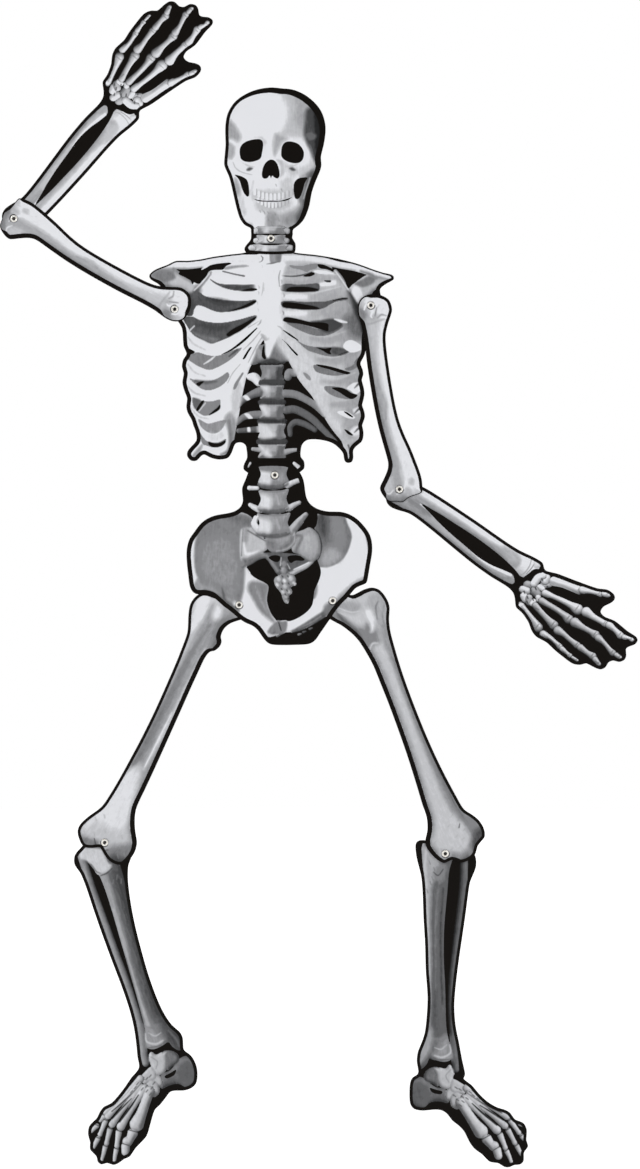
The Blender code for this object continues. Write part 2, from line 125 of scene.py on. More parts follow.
class Print:
    """What the front of one card shows, at each of its points: depth into a bone, and tone."""

    LIGHT = (-0.55, 0.36, 0.75)  # the way to the light that the print is shaded by
    BORDER_SIDE = (0.8, 0.6)  # the side on which a card's black border is wider
    REACH = 6.0  # how far outside a shape, in mm, the distance to it is kept
    JOIN = 4.0  # how deep, in mm, a shape that joins another fades over it

    def __init__(self, points, outline):
        self.points = points
        self.edge = np.full(len(points), -FAR)
        self.tone = np.zeros(len(points))
        self.light = np.array(self.LIGHT) / np.linalg.norm(self.LIGHT)
        self.outline = outline
        self.rim, self.rim_offset = self.depth_in(outline, slice(None))

    def move(self, du, dv):
        """Shifts what is painted from here on."""
        self.points = self.points - (du, dv)

    def near(self, low, high):
        """The numbers of the points in a box."""
        p = self.points
        return np.flatnonzero((p[:, 0] > low[0]) & (p[:, 0] < high[0])
                              & (p[:, 1] > low[1]) & (p[:, 1] < high[1]))

    def depth_in(self, polygon, chosen):
        """How far the chosen points are inside a closed curve, and the vectors from its edge."""
        p = self.points[chosen]
        far, offset, _, _ = to_segments(p, polygon, np.roll(polygon, -1, 0))
        inside = inside_polygon(p, polygon)
        return np.where(inside, far, -far), offset

    def put(self, chosen, depth, tone, gap):
        """A new shape over what is there, with a black gap round it, or joined on if gap is None."""
        edge, old = self.edge[chosen], self.tone[chosen]
        if gap is None:
            blend = smooth_step(depth / self.JOIN + 0.3)
            known = edge > -1.0
            self.tone[chosen] = np.where(known, old + (tone - old) * blend,
                                         np.where(depth > edge, tone, old))
            self.edge[chosen] = np.maximum(edge, depth)
        else:
            self.tone[chosen] = np.where(depth > -gap * 0.5, tone, old)
            self.edge[chosen] = np.maximum(depth, np.minimum(edge, -depth - gap))

    def shade(self, flat, normal_uv, relief):
        """The tone of a surface whose normal leans by normal_uv, where 0 faces the viewer."""
        lean = np.clip((normal_uv ** 2).sum(1), 0, 0.98)
        lit = normal_uv @ self.light[:2] + np.sqrt(1 - lean) * self.light[2]
        return flat + relief * (lit - self.light[2])

    def bone(self, stations, tone=0.9, relief=0.34, gap=None):
        """A rounded bone along (u, v, half width) stations."""
        s = open_curve(stations)
        wide = s[:, 2].max() + self.REACH
        chosen = self.near(s[:, :2].min(0) - wide, s[:, :2].max(0) + wide)
        if not len(chosen):
            return
        p = self.points[chosen]
        depth = np.full(len(p), -FAR)
        lean = np.zeros((len(p), 2))
        for a, b in zip(s[:-1], s[1:]):
            run = b[:2] - a[:2]
            length = max(run @ run, 1e-9)
            t = np.clip((p - a[:2]) @ run / length, 0, 1)
            radius = a[2] + (b[2] - a[2]) * t
            gap_uv = p - (a[:2] + t[:, None] * run)
            far = np.hypot(gap_uv[:, 0], gap_uv[:, 1])
            more = radius - far > depth
            depth[more] = (radius - far)[more]
            lean[more] = (gap_uv / np.maximum(radius, 0.1)[:, None])[more]
        self.put(chosen, depth, self.shade(tone, lean, relief), gap)

    def plate(self, outline, tone=0.9, relief=0.3, round_mm=6.0, gap=None):
        """A broad bone within a closed outline, rounded over at its edge for round_mm."""
        curve = closed_curve(outline)
        chosen = self.near(curve.min(0) - self.REACH, curve.max(0) + self.REACH)
        if not len(chosen):
            return
        depth, offset = self.depth_in(curve, chosen)
        self.put(chosen, depth, self.rounded(depth, offset, tone, relief, round_mm), gap)

    def rounded(self, depth, offset, tone, relief, round_mm):
        """The tones of a face that is flat in its middle and falls off at its edge."""
        steep = np.clip(1 - depth / round_mm, 0, 1) * (depth > 0)
        away = -offset / np.maximum(np.hypot(*offset.T), 1e-6)[:, None]
        return self.shade(tone, away * steep[:, None], relief)

    def whole_card(self, border, tone=0.9, relief=0.34, round_mm=8.0, keep=None, thin=1.0):
        """Bone over the whole card but for a black border, wider on the right and at the top."""
        away = -self.rim_offset / np.maximum(np.hypot(*self.rim_offset.T), 1e-6)[:, None]
        lean = np.clip(away @ np.array(self.BORDER_SIDE), 0, 1)
        depth = self.rim - (border[0] + (border[1] - border[0]) * lean) * thin
        tones = self.rounded(depth, self.rim_offset, tone, relief, round_mm)
        chosen = np.arange(len(self.points)) if keep is None else np.flatnonzero(keep)
        self.put(chosen, depth[chosen], tones[chosen], None)

    def within_card(self, border):
        """Keeps every bone at least border mm inside the card's edge."""
        self.edge = np.minimum(self.edge, self.rim - border)

    def cut(self, outline):
        """A black opening."""
        curve = closed_curve(outline)
        chosen = self.near(curve.min(0) - self.REACH, curve.max(0) + self.REACH)
        depth, _ = self.depth_in(curve, chosen)
        self.edge[chosen] = np.minimum(self.edge[chosen], -depth)

    def hollow(self, outline, soft=4.0):
        """A black opening with a dusky edge."""
        self.tint(outline, 0.06, soft, 0.85)
        self.cut(outline)

    def cut_line(self, stations):
        """A black line along (u, v, half width) stations."""
        chosen, depth = self.line_depth(stations, self.REACH)
        self.edge[chosen] = np.minimum(self.edge[chosen], -depth)

    def line_depth(self, stations, reach):
        """The points near a line of (u, v, half width) stations, and how far they are inside it."""
        s = open_curve(stations)
        wide = s[:, 2].max() + reach
        chosen = self.near(s[:, :2].min(0) - wide, s[:, :2].max(0) + wide)
        p = self.points[chosen]
        far, _, share, which = to_segments(p, s[:-1, :2], s[1:, :2])
        return chosen, s[which, 2] + (s[which + 1, 2] - s[which, 2]) * share - far

    def tint(self, outline, tone, soft=1.5, amount=1.0):
        """Turns the ink inside a closed outline to a tone, fading in over soft mm."""
        curve = closed_curve(outline)
        chosen = self.near(curve.min(0) - soft, curve.max(0) + soft)
        if not len(chosen):
            return
        depth, _ = self.depth_in(curve, chosen)
        self.mix(chosen, depth, tone, soft, amount)

    def tint_line(self, stations, tone, soft=1.0, amount=1.0):
        """Turns the ink along (u, v, half width) stations to a tone."""
        chosen, depth = self.line_depth(stations, soft)
        if len(chosen):
            self.mix(chosen, depth, tone, soft, amount)

    def specks(self, places, run, half_widths, tone, soft, amount=1.0):
        """A short mark at each place: where it runs to from there, and its half widths at its ends."""
        for u, v in places:
            ends = [(u, v, half_widths[0]), (u + run[0], v + run[1], half_widths[1])]
            self.tint_line(ends, tone, soft, amount)

    def painted_flange_shadow(self, centre, radius):
        """Painted shadow of an eyelet's flange round its hole: a faint dark ring, and a darker arc below
        it.
        """
        for start, turn, thick, amount in ((0, 2, 0.3, 0.5), (1.1, 0.8, 0.7, 0.8)):
            angles = [math.pi * (start + turn * k / 8) for k in range(9)]
            ring = [(centre[0] + radius * math.cos(a), centre[1] + radius * math.sin(a), thick)
                    for a in angles]
            self.tint_line(ring, 0.05, 1.4, amount)

    def mix(self, chosen, depth, tone, soft, amount):
        """Turns the chosen points' tones to a tone, by how deep they are in a shape."""
        share = smooth_step(depth / soft + 0.5) * amount
        self.tone[chosen] += (tone - self.tone[chosen]) * share


# ---------------------------------------------------------------- tones of the ink

# Each tone starts at its first number and prints as its second, from black ink to white card.
TONES = ((0.0, 0.13), (0.14, 0.25), (0.30, 0.37), (0.44, 0.495), (0.58, 0.615), (0.70, 0.72), (0.83, 0.84))


def vertebra(ink, u, v, half_width, half_height, tone=0.85, gap=0.5):
    """One vertebra's body from in front: a waisted block, shaded like a drum."""
    w, h = half_width, half_height
    outline = [(u - w, v + h), (u - w * 0.5, v + h + 0.8), (u + w * 0.5, v + h + 0.8), (u + w, v + h),
        (u + w * 0.84, v), (u + w, v - h), (u + w * 0.5, v - h - 0.8), (u - w * 0.5, v - h - 0.8),
        (u - w, v - h), (u - w * 0.84, v)]
    ink.plate(outline, tone, 0.25, w * 0.8, gap)
    ink.tint_line([(u + w * 0.6, v + h * 0.6, w * 0.2), (u + w * 0.55, v - h * 0.7, w * 0.25)], tone - 0.24,
        5.0)
    ink.tint_line([(u - w * 0.3, v + h * 0.3, w * 0.15), (u - w * 0.35, v - h * 0.4, w * 0.2)], tone + 0.1,
        5.0)
    ink.tint_line([(u - w * 0.8, v - h * 0.9, 0.5), (u + w * 0.8, v - h * 0.9, 0.5)], tone - 0.3, 2.5)
    ink.tint_line([(u - w * 0.7, v + h * 0.95, 0.3), (u + w * 0.7, v + h * 0.95, 0.3)], tone + 0.1, 1.5)


def paint_skull(ink):
    above_chin = ink.points[:, 1] > 12.5 - 0.006 * ink.points[:, 0] ** 2
    ink.whole_card((4.2, 8.6), 0.94, 0.26, 9.0, above_chin)
    # the shaded right side of the forehead, and the dark hollow of the temple
    ink.tint([(14, 188), (17, 172), (21, 160), (19, 146), (13, 134), (7, 127), (10, 121), (22, 127),
        (38, 126), (50, 118), (70, 110), (74, 160), (50, 190)], 0.74, 15.2)
    ink.tint([(30, 178), (34, 165), (30, 150), (37, 138), (44, 128), (66, 120), (70, 160), (48, 184)], 0.62,
        15.2, 0.8)
    ink.tint([(44, 160), (49, 165), (66, 168), (80, 140), (80, 92), (58, 92), (53, 101), (48, 113),
        (44, 122), (41.5, 134), (43, 148)], 0.27, 7.0)
    ink.tint([(53, 166), (66, 166), (80, 140), (74, 92), (59, 98), (55, 112), (55, 135)], 0.06, 9.0)
    ink.tint([(45, 131), (51, 133), (57, 130), (55, 125), (48, 124)], 0.46, 4.0, 0.7)
    ink.tint_line([(49, 118, 0.4), (52, 109, 0.8), (55, 100, 0.4)], 0.5, 2.5, 0.6)
    # left temple
    ink.tint([(-56, 152), (-49, 148), (-42, 138), (-38, 128), (-41, 121), (-48, 124), (-55, 128)], 0.64,
        9.0)
    ink.tint([(-56, 120), (-47, 118), (-45, 108), (-49, 99), (-56, 102)], 0.68, 6.0)
    # brows, the root of the nose and its sides
    ink.tint([(5, 131), (12, 129), (20, 126), (14, 121), (10, 113), (5, 104), (2, 112)], 0.66, 9.5)
    ink.tint([(-22, 127), (-12, 128), (-6, 122), (-8, 115), (-12, 125)], 0.78, 7.6)
    ink.tint([(7, 99), (12, 92), (12, 80), (9, 76), (16, 82), (16, 96)], 0.7, 7.6)
    # the socket rims on the right, and the cheek bone under them
    ink.tint_line([(37, 121, 1.4), (43, 113, 1.4), (44, 101, 1.4), (40, 95, 1.2)], 0.95, 1.4)
    ink.tint([(15, 95), (30, 91), (43, 92), (50, 97), (56, 94), (52, 84), (40, 80), (24, 78)], 0.8, 11.4)
    ink.tint([(38, 79), (48, 85), (57, 92), (56, 84), (50, 78)], 0.62, 7.6)
    ink.tint_line([(-48, 96, 0.6), (-44, 88, 0.9), (-36, 83, 0.8), (-24, 80, 0.6)], 0.74, 2.0)
    for side in (-1, 1):
        ink.tint([(side * 31, 86), (side * 27, 89.5), (side * 23, 88), (side * 27, 85)], 0.3, 3.2)
        ink.tint([(side * 36, 95), (side * 26, 92), (side * 20, 90), (side * 28, 90)], 0.72, 3.2, 0.7)
    # sockets and nose
    ink.cut([(-39.5, 108), (-38, 116), (-32, 121.5), (-22, 124.5), (-13, 124.5), (-9.8, 119), (-11, 109),
        (-13, 101), (-19, 97.5), (-28, 96), (-37, 99)])
    ink.cut([(12.8, 106), (14, 116), (19, 121.5), (28, 121.5), (36, 117.5), (41, 110), (41, 102), (37, 96),
        (29, 94.5), (20, 97), (14.5, 101)])
    ink.cut([(-11.5, 80), (-10, 89), (-6, 96), (0, 99.2), (6, 96.5), (9.5, 89), (11, 80), (8.5, 75.5),
        (4.5, 76.5), (1.6, 79), (0, 75.5), (-1.8, 79), (-5, 75.5), (-9.5, 75.5)])
    # the jaw, darker on its right, and the cheek openings
    ink.tint([(1, 33), (14, 32), (30, 39), (40, 50), (52, 60), (52, 40), (40, 18), (20, 10), (0, 8),
        (-4, 22)], 0.68, 9.0)
    ink.tint([(20, 30), (32, 32), (42, 44), (48, 56), (50, 40), (40, 20), (24, 16), (16, 20)], 0.54, 13.0,
        0.8)
    ink.tint([(-4, 34), (5, 32), (8, 24), (4, 14), (-6, 14), (-7, 24)], 0.58, 8.0, 0.8)
    for u, v, tall in ((-9, 34, 3), (-4.5, 27, 4), (0, 21, 5), (4, 33, 3), (-12, 37, 2), (9, 26, 4)):
        ink.tint_line([(u, v, 0.4), (u + 1.5, v - tall, 0.9)], 0.5, 2.2, 0.5)
    ink.tint([(-46, 62), (-40, 62), (-34, 50), (-30, 36), (-32, 28), (-40, 34)], 0.82, 9.5)
    ink.tint([(-46, 76), (-41, 72), (-38, 60), (-42, 54), (-48, 60)], 0.66, 7.6)
    ink.tint([(36, 74), (44, 78), (52, 80), (50, 60), (46, 46), (38, 44), (34, 50)], 0.5, 7.6)
    ink.tint([(47, 80), (56, 84), (60, 60), (53, 40), (45, 26), (35, 17), (32, 26), (39, 40), (44, 58)],
        0.3, 9.5)
    ink.tint_line([(49, 76, 1.0), (45, 62, 1.0), (41, 50, 0.8)], 0.66, 2.0)
    ink.tint_line([(-28, 54, 1.6), (-24, 64, 1.6), (-22, 72, 1.6)], 0.84, 2.0)
    ink.tint([(26, 78), (30, 68), (27, 58), (16, 60), (10, 70), (16, 76)], 0.8, 11.4)
    ink.cut([(-46, 80), (-40, 79), (-34, 76.5), (-30, 73), (-28, 66), (-27.5, 55), (-30, 52.5), (-34, 57),
        (-37, 64), (-39, 71), (-42, 76)])
    ink.cut([(28.5, 62), (29, 69), (33, 74.5), (39, 76.5), (46, 76.5), (44.5, 73), (42, 68), (40, 60),
        (36, 51), (31.5, 49.5), (29.5, 53)])
    # teeth: an upper and a lower row, and the dark line between them
    ink.tint([(-22, 60), (0, 62), (26, 60), (28, 50), (0, 47), (-24, 49)], 0.74, 11.4, 0.8)
    ink.tint([(-18, 46), (0, 45), (25, 47), (22, 37), (0, 33), (-18, 36)], 0.7, 11.4, 0.8)
    for k in range(10):
        u = -20.5 + 5.1 * k
        v = 52.2 + 0.012 * (u - 2) ** 2
        width = 2.2 if 2 < k < 7 else 1.8
        ink.tint_line([(u, v + 2.2, width * 0.86), (u, v - 2.4, width)], 0.98 - 0.008 * max(u, 0), 0.8)
        ink.tint_line([(u + 2.5, v + 4, 0.28), (u + 2.55, v - 4, 0.35)], 0.5, 0.8)
    for k in range(9):
        u = -16 + 4.5 * k
        v = 41 + 0.02 * (u - 2) ** 2
        ink.tint_line([(u, v + 2.4, 1.7), (u, v - 1.8, 1.3)], 0.93 - 0.008 * max(u, 0), 0.8)
        ink.tint_line([(u + 2.2, v + 3, 0.3), (u + 2.2, v - 3.4, 0.25)], 0.46, 0.8)
    ink.cut_line([(-22, 50, 0.2), (-16, 47.6, 0.7), (-6, 46.6, 0.55), (2, 46.8, 0.75), (10, 46.6, 0.5),
        (20, 48.6, 0.9), (27, 52, 0.2)])
    ink.specks(((-14, 35), (-9, 34), (-4, 33.5), (13, 62), (6, 68)), (1, -2.5), (0.5, 0.3), 0.55, 1.5)
    # neck: two vertebrae, the discs between them and the knobs at their sides
    for u, v, r in ((-20, 9, 3.6), (21, 9, 3.6), (-19, -3, 3.4), (20, -3, 3.4), (-25, -12, 3.6),
                    (25, -12, 3.6)):
        ink.bone([(u, v, r), (u * 0.7, v + 1, r + 0.6)], 0.8 if u < 0 else 0.7, 0.3, gap=0.5)
    for v, w, h, tone in ((10, 18, 4.2, 0.72), (-1.6, 18.5, 5.2, 0.76), (-13, 22, 4.6, 0.76)):
        vertebra(ink, 0, v, w, h, tone)
    for v, w in ((4.6, 13), (-7.6, 15)):
        ink.cut_line([(-w, v + 0.6, 0.2), (-w * 0.5, v, 1.1), (w * 0.5, v, 1.1), (w, v + 0.6, 0.2)])
    ink.cut_line([(-24, -17.4, 0.5), (-8, -18.6, 0.5), (8, -18.6, 0.5), (26, -16.5, 0.5)])
    ink.tint([(-15, 12), (-12, 10), (-13, 4), (-16, 6)], 0.4, 7.6)
    ink.tint([(12, 8), (17, 7), (16, -2), (12, 0)], 0.45, 7.6)
    ink.within_card(3.6)


def paint_torso(ink):
    paint_spine(ink)
    paint_left_ribs(ink)
    paint_right_ribs(ink)
    paint_shoulder_blades(ink)
    thin_above = smooth_step((ink.points[:, 1] - 122) / 12)
    ink.within_card(5.2 - 3.3 * thin_above)


def paint_spine(ink):
    """The backbone under the ribs, and the ribs' ends behind it."""
    # ribs that curve away behind on the right
    ink.bone([(16, -17, 5), (28, -18, 5), (40, -23, 4.6), (54, -32, 4), (66, -44, 3)], 0.52, 0.22)
    ink.bone([(18, -38, 5), (28, -37, 5), (40, -42, 5), (52, -50, 4.6), (64, -62, 4), (80, -78, 3)], 0.4,
        0.22)
    ink.bone([(23, -69, 3), (23, -59, 3.6), (30, -53, 4), (42, -56, 4), (54, -63, 3.2)], 0.36, 0.22)
    ink.bone([(16, -91, 4), (24, -89, 3), (31, -88, 2.2)], 0.64, 0.3)
    ink.bone([(20, 4, 5), (22, 9, 5.4), (28, 8, 4)], 0.52, 0.3)
    # and on the left, with bright ends
    ink.bone([(-17, -3, 5), (-22, 3, 6), (-28, 4, 4)], 0.9, 0.36)
    ink.bone([(-16, -15, 6), (-24, -18, 5), (-35, -24, 4), (-46, -34, 4)], 0.46, 0.26)
    ink.bone([(-16, -44, 5.4), (-26, -44, 4.6), (-36, -47, 4), (-44, -54, 3)], 0.5, 0.26)
    ink.bone([(-16, -62, 4), (-30, -63, 3.6), (-42, -64, 3)], 0.36, 0.2)
    ink.bone([(-16, -88, 3), (-24, -87, 2.4)], 0.62, 0.3)
    for outline in ([(-37, -21), (-32, -19), (-27, -25), (-30, -27)],
                    [(-35, -43), (-30, -42), (-24, -48), (-28, -50)],
                    [(-31, -59), (-28, -59), (-27, -65), (-31, -65)]):
        ink.tint(outline, 0.9, 1.6)
    for side in (-1, 1):
        ink.bone([(side * 33, -110, 3.0), (side * 28, -105, 2.0)], 0.85, 0.3)
    # dark discs between the bodies
    for v, w, tone in ((24, 16, 0.2), (-3.5, 15, 0.2), (-28, 16, 0.18), (-52, 17, 0.14), (-77.5, 18, 0.2)):
        ink.plate([(-w, v + 3), (0, v + 4.4), (w, v + 3), (w, v - 3), (0, v - 3.4), (-w, v - 3)], tone,
            0.12, 3.0, gap=0.4)
    for v, w, h, tone in ((8.5, 15, 9.8, 0.5), (-15.6, 15, 8.4, 0.6), (-40, 16, 8.6, 0.64),
                          (-64, 17.5, 9.0, 0.7), (-89.6, 17.5, 8.0, 0.64)):
        vertebra(ink, 0, v, w, h, tone, gap=None)
    for outline in ([(-15, -7.5), (-4, -7.5), (-3, -13), (-8, -15)],
                    [(-17, -33), (-8, -32), (-4, -42), (-9, -43)],
                    [(-18, -56), (-10, -56), (4, -68), (0, -73), (-16, -73)],
                    [(-17, -83), (-12, -83), (-2, -92), (0, -97), (-8, -96)]):
        ink.tint(outline, 0.84, 7.0)
    ink.cut_line([(-17, -99.5, 1.2), (0, -101, 2.6), (17, -99.5, 1.2)])
    vertebra(ink, 1, -114, 18, 8, 0.7)
    # the hollow under the breastbone
    ink.plate([(-22, 40), (-4, 46), (8, 46), (22, 27), (12, 22), (0, 26), (-14, 22), (-26, 20)], 0.46, 0.1,
        5)


def paint_left_ribs(ink):
    """The ribs on the viewer's left: a light cage with grey and black openings, and the breastbone."""
    ink.plate([(-20, 158), (-50, 156), (-80, 150), (-100, 120), (-112, 90), (-118, 40), (-116, 0),
        (-110, -40), (-99, -66), (-101, -84), (-106, -96), (-98, -103), (-90, -92), (-76, -100), (-58, -98),
        (-50, -88), (-47, -70), (-42, -45), (-38, -22), (-33, 1), (-28, 15), (-22, 27), (-16, 42),
        (-10, 50), (-9, 32), (-6, 27), (-2, 29), (4, 44), (12, 60), (14, 100), (14, 158)], 0.93, 0.1, 5)
    # the cage's shaded lower corner and the rims of the ribs
    ink.tint([(-60, -48), (-50, -40), (-44, -60), (-48, -90), (-58, -96), (-54, -80), (-56, -64)], 0.62,
        6.0)
    ink.tint([(-52, -20), (-44, 0), (-38, -10), (-42, -40), (-50, -44)], 0.8, 8.0)
    for line in ([(-106, 54, 1), (-98, 45, 1.6), (-84, 38, 1)],
                 [(-106, 20, 1), (-98, 10, 1.4), (-84, 5, 1)],
                 [(-106, -8, 1), (-98, -16, 1.4), (-84, -20, 1)],
                 [(-102, -36, 1), (-92, -46, 1.4), (-80, -49, 1)]):
        ink.tint_line(line, 0.8, 3.0)
    # between the ribs, from the top
    ink.tint([(-60, 142), (-50, 144), (-34, 145), (-30, 143), (-46, 141), (-58, 139)], 0.6, 3.0)
    ink.tint_line([(-62, 137, 0.8), (-48, 133.5, 0.8), (-35, 131, 1.0)], 0.36, 1.2)
    ink.tint([(-79, 128), (-68, 122), (-55, 120.5), (-36, 120), (-20, 120), (-17.3, 116.5), (-20, 112.6),
        (-34, 112), (-48, 113), (-60, 116), (-72, 121.5)], 0.32, 0.5)
    ink.hollow([(-38, 112.6), (-30, 115), (-22, 115.6), (-18.6, 114.6), (-20, 113), (-30, 112.2)])
    ink.tint_line([(-62, 118, 0.5), (-46, 116, 1.4), (-30, 117, 0.8)], 0.24, 5.6)
    ink.tint([(-118, 116), (-104, 113), (-92, 111), (-85, 106), (-74, 103), (-60, 100.5), (-45, 100),
        (-30, 100), (-21, 101.5), (-20, 98), (-28, 93), (-40, 89), (-52, 86.3), (-66, 85.4), (-76, 88),
        (-86, 92.5), (-94, 94), (-98, 89), (-101, 81), (-112, 84), (-120, 100)], 0.3, 0.5)
    ink.tint_line([(-80, 102, 1.0), (-66, 99, 3.0), (-50, 97, 1.0)], 0.14, 8.4)
    ink.hollow([(-54, 87), (-42, 91), (-30, 96.5), (-21, 100.6), (-20.4, 98), (-28, 93.4), (-40, 89.2)])
    ink.tint([(-101, 80), (-92, 76), (-80, 73), (-68, 72), (-56, 73), (-40, 76.5), (-21, 81.5), (-20, 78),
        (-28, 71), (-40, 63), (-52, 55), (-62, 50.5), (-70, 47.6), (-77, 46), (-86, 50), (-95, 54),
        (-101, 59), (-106, 66), (-112, 78)], 0.32, 0.5)
    ink.tint([(-101, 62), (-92, 58), (-80, 55), (-66, 52), (-72, 47), (-78, 46.4), (-88, 51), (-98, 56.6)],
        0.44, 4.0)
    ink.tint_line([(-96, 70, 1.0), (-76, 66, 3.0), (-58, 66, 3.0)], 0.24, 11.2)
    ink.hollow([(-57, 58), (-48, 65), (-36, 71), (-21, 79.5), (-21, 77), (-29, 70), (-40, 62), (-50, 57),
        (-55, 55)])
    ink.tint_line([(-104, 62, 1.0), (-98, 68, 1.0)], 0.8, 1.0)
    ink.cut([(-120, 44), (-108, 41), (-99, 37), (-97.5, 34.5), (-104, 31.5), (-112, 30), (-120, 30)])
    ink.tint([(-106, 27), (-101, 33), (-92, 34.5), (-80, 31), (-66, 31), (-56, 35), (-46, 38.5),
        (-38, 40.5), (-44, 33), (-52, 26), (-61, 20), (-70, 15.5), (-79, 12.6), (-90, 16), (-99, 21)], 0.5,
        0.5)
    ink.tint_line([(-86, 20, 0.7), (-78, 25, 1.3), (-72, 30, 0.8)], 0.86, 1.2)
    ink.cut_line([(-64, 32, 0.4), (-54, 36.5, 1.0), (-44, 43, 1.4), (-32, 53, 1.5), (-19, 65.5, 0.7)])
    ink.tint_line([(-54, 30, 1.0), (-44, 38, 1.4)], 0.3, 1.5)
    ink.tint([(-104, 2), (-97, 0), (-88, -1), (-78, -1), (-70, 1.5), (-62, 6), (-56.5, 9.6), (-54, 7),
        (-55, 2), (-61, -5), (-69, -10), (-79, -13), (-88, -11.5), (-97, -5)], 0.52, 0.5)
    ink.tint_line([(-96, -1, 1.2), (-84, -3, 2.0), (-70, -2, 1.0)], 0.36, 5.6)
    ink.hollow([(-93, -3), (-86, -1.8), (-89, -5), (-92, -7.6), (-95.5, -5.4)], 2.0)
    ink.tint([(-100, -22), (-92, -25), (-83, -27), (-74, -26.6), (-66, -24.6), (-65, -30), (-67, -34),
        (-73, -39), (-81, -44.6), (-87, -44.6), (-95, -39), (-99.6, -31)], 0.52, 0.5)
    ink.tint([(-99, -23), (-90, -26), (-96, -36), (-99, -32)], 0.36, 4.0)
    ink.tint_line([(-84, -29, 0.8), (-92, -39, 0.8)], 0.8, 1.4)
    ink.hollow([(-89, -27), (-85.6, -27), (-92.6, -38), (-95.4, -37)], 1.5)
    ink.hollow([(-65.4, -31), (-66, -36.5), (-72, -41), (-80, -44.6), (-74, -39), (-69, -35)], 2.0)
    ink.tint([(-93, -49), (-86, -52.6), (-80, -55), (-72, -53), (-64, -51), (-57.6, -50), (-58.6, -54),
        (-62, -60.6), (-68, -66), (-76, -67.4), (-84, -64), (-90, -58)], 0.58, 0.6)
    ink.tint([(-91, -67), (-87, -72), (-82, -77), (-74, -79), (-66, -78), (-58, -74), (-60, -80),
        (-66, -84), (-74, -85), (-81, -83), (-88, -80)], 0.5, 0.6)
    ink.hollow([(-80, -77.6), (-74, -79.6), (-66, -79.4), (-59, -76), (-59.6, -80), (-66, -84),
        (-74, -84.6), (-79, -82)], 2.0)
    ink.tint([(-78, -66), (-70, -68), (-62, -62), (-60, -72), (-70, -77), (-80, -75)], 0.8, 6.0, 0.6)
    # the lowest rib's end that sticks out below, and the inner side of the cage's corner
    ink.tint_line([(-99, -96, 2.0), (-92, -88, 2.4), (-88, -82, 1.0)], 0.6, 4.2)
    ink.tint_line([(-103, -90, 1.0), (-94, -80, 1.0)], 0.9, 2.0)
    ink.tint_line([(-54, -52, 1.0), (-52, -70, 2.0), (-54, -88, 2.0), (-64, -94, 1.0)], 0.46, 5.6)
    # gristle that joins the ribs to the breastbone
    ink.cut([(-37, 26.5), (-34, 27), (-30, 34), (-25.6, 41), (-28, 41), (-33, 34)])
    ink.tint([(-48.6, -12), (-45, -10), (-41, -1), (-36, 8), (-38, 9), (-44, 0), (-48, -7)], 0.52, 0.8)
    for line in ([(-14, 62, 0.5), (-24, 50, 0.7), (-36, 38, 0.5)],
                 [(-12, 55, 0.4), (-20, 42, 0.7), (-30, 22, 0.5)],
                 [(-40, 20, 0.4), (-50, 8, 0.6), (-56, -4, 0.4)],
                 [(-30, 66, 0.4), (-20, 72, 0.5), (-14, 76, 0.4)]):
        ink.tint_line(line, 0.66, 1.4)
    # the lower end of the breastbone
    ink.cut([(-9.6, 44), (-9, 34), (-7.4, 28), (-9, 26), (-13, 30), (-12, 40)])
    ink.tint([(-14, 58), (-6, 57), (0, 55), (-4, 51), (-10, 50)], 0.6, 4.0)
    ink.tint([(-20, 38), (-16, 40), (-12, 34), (-13, 27), (-18, 28)], 0.62, 4.0)


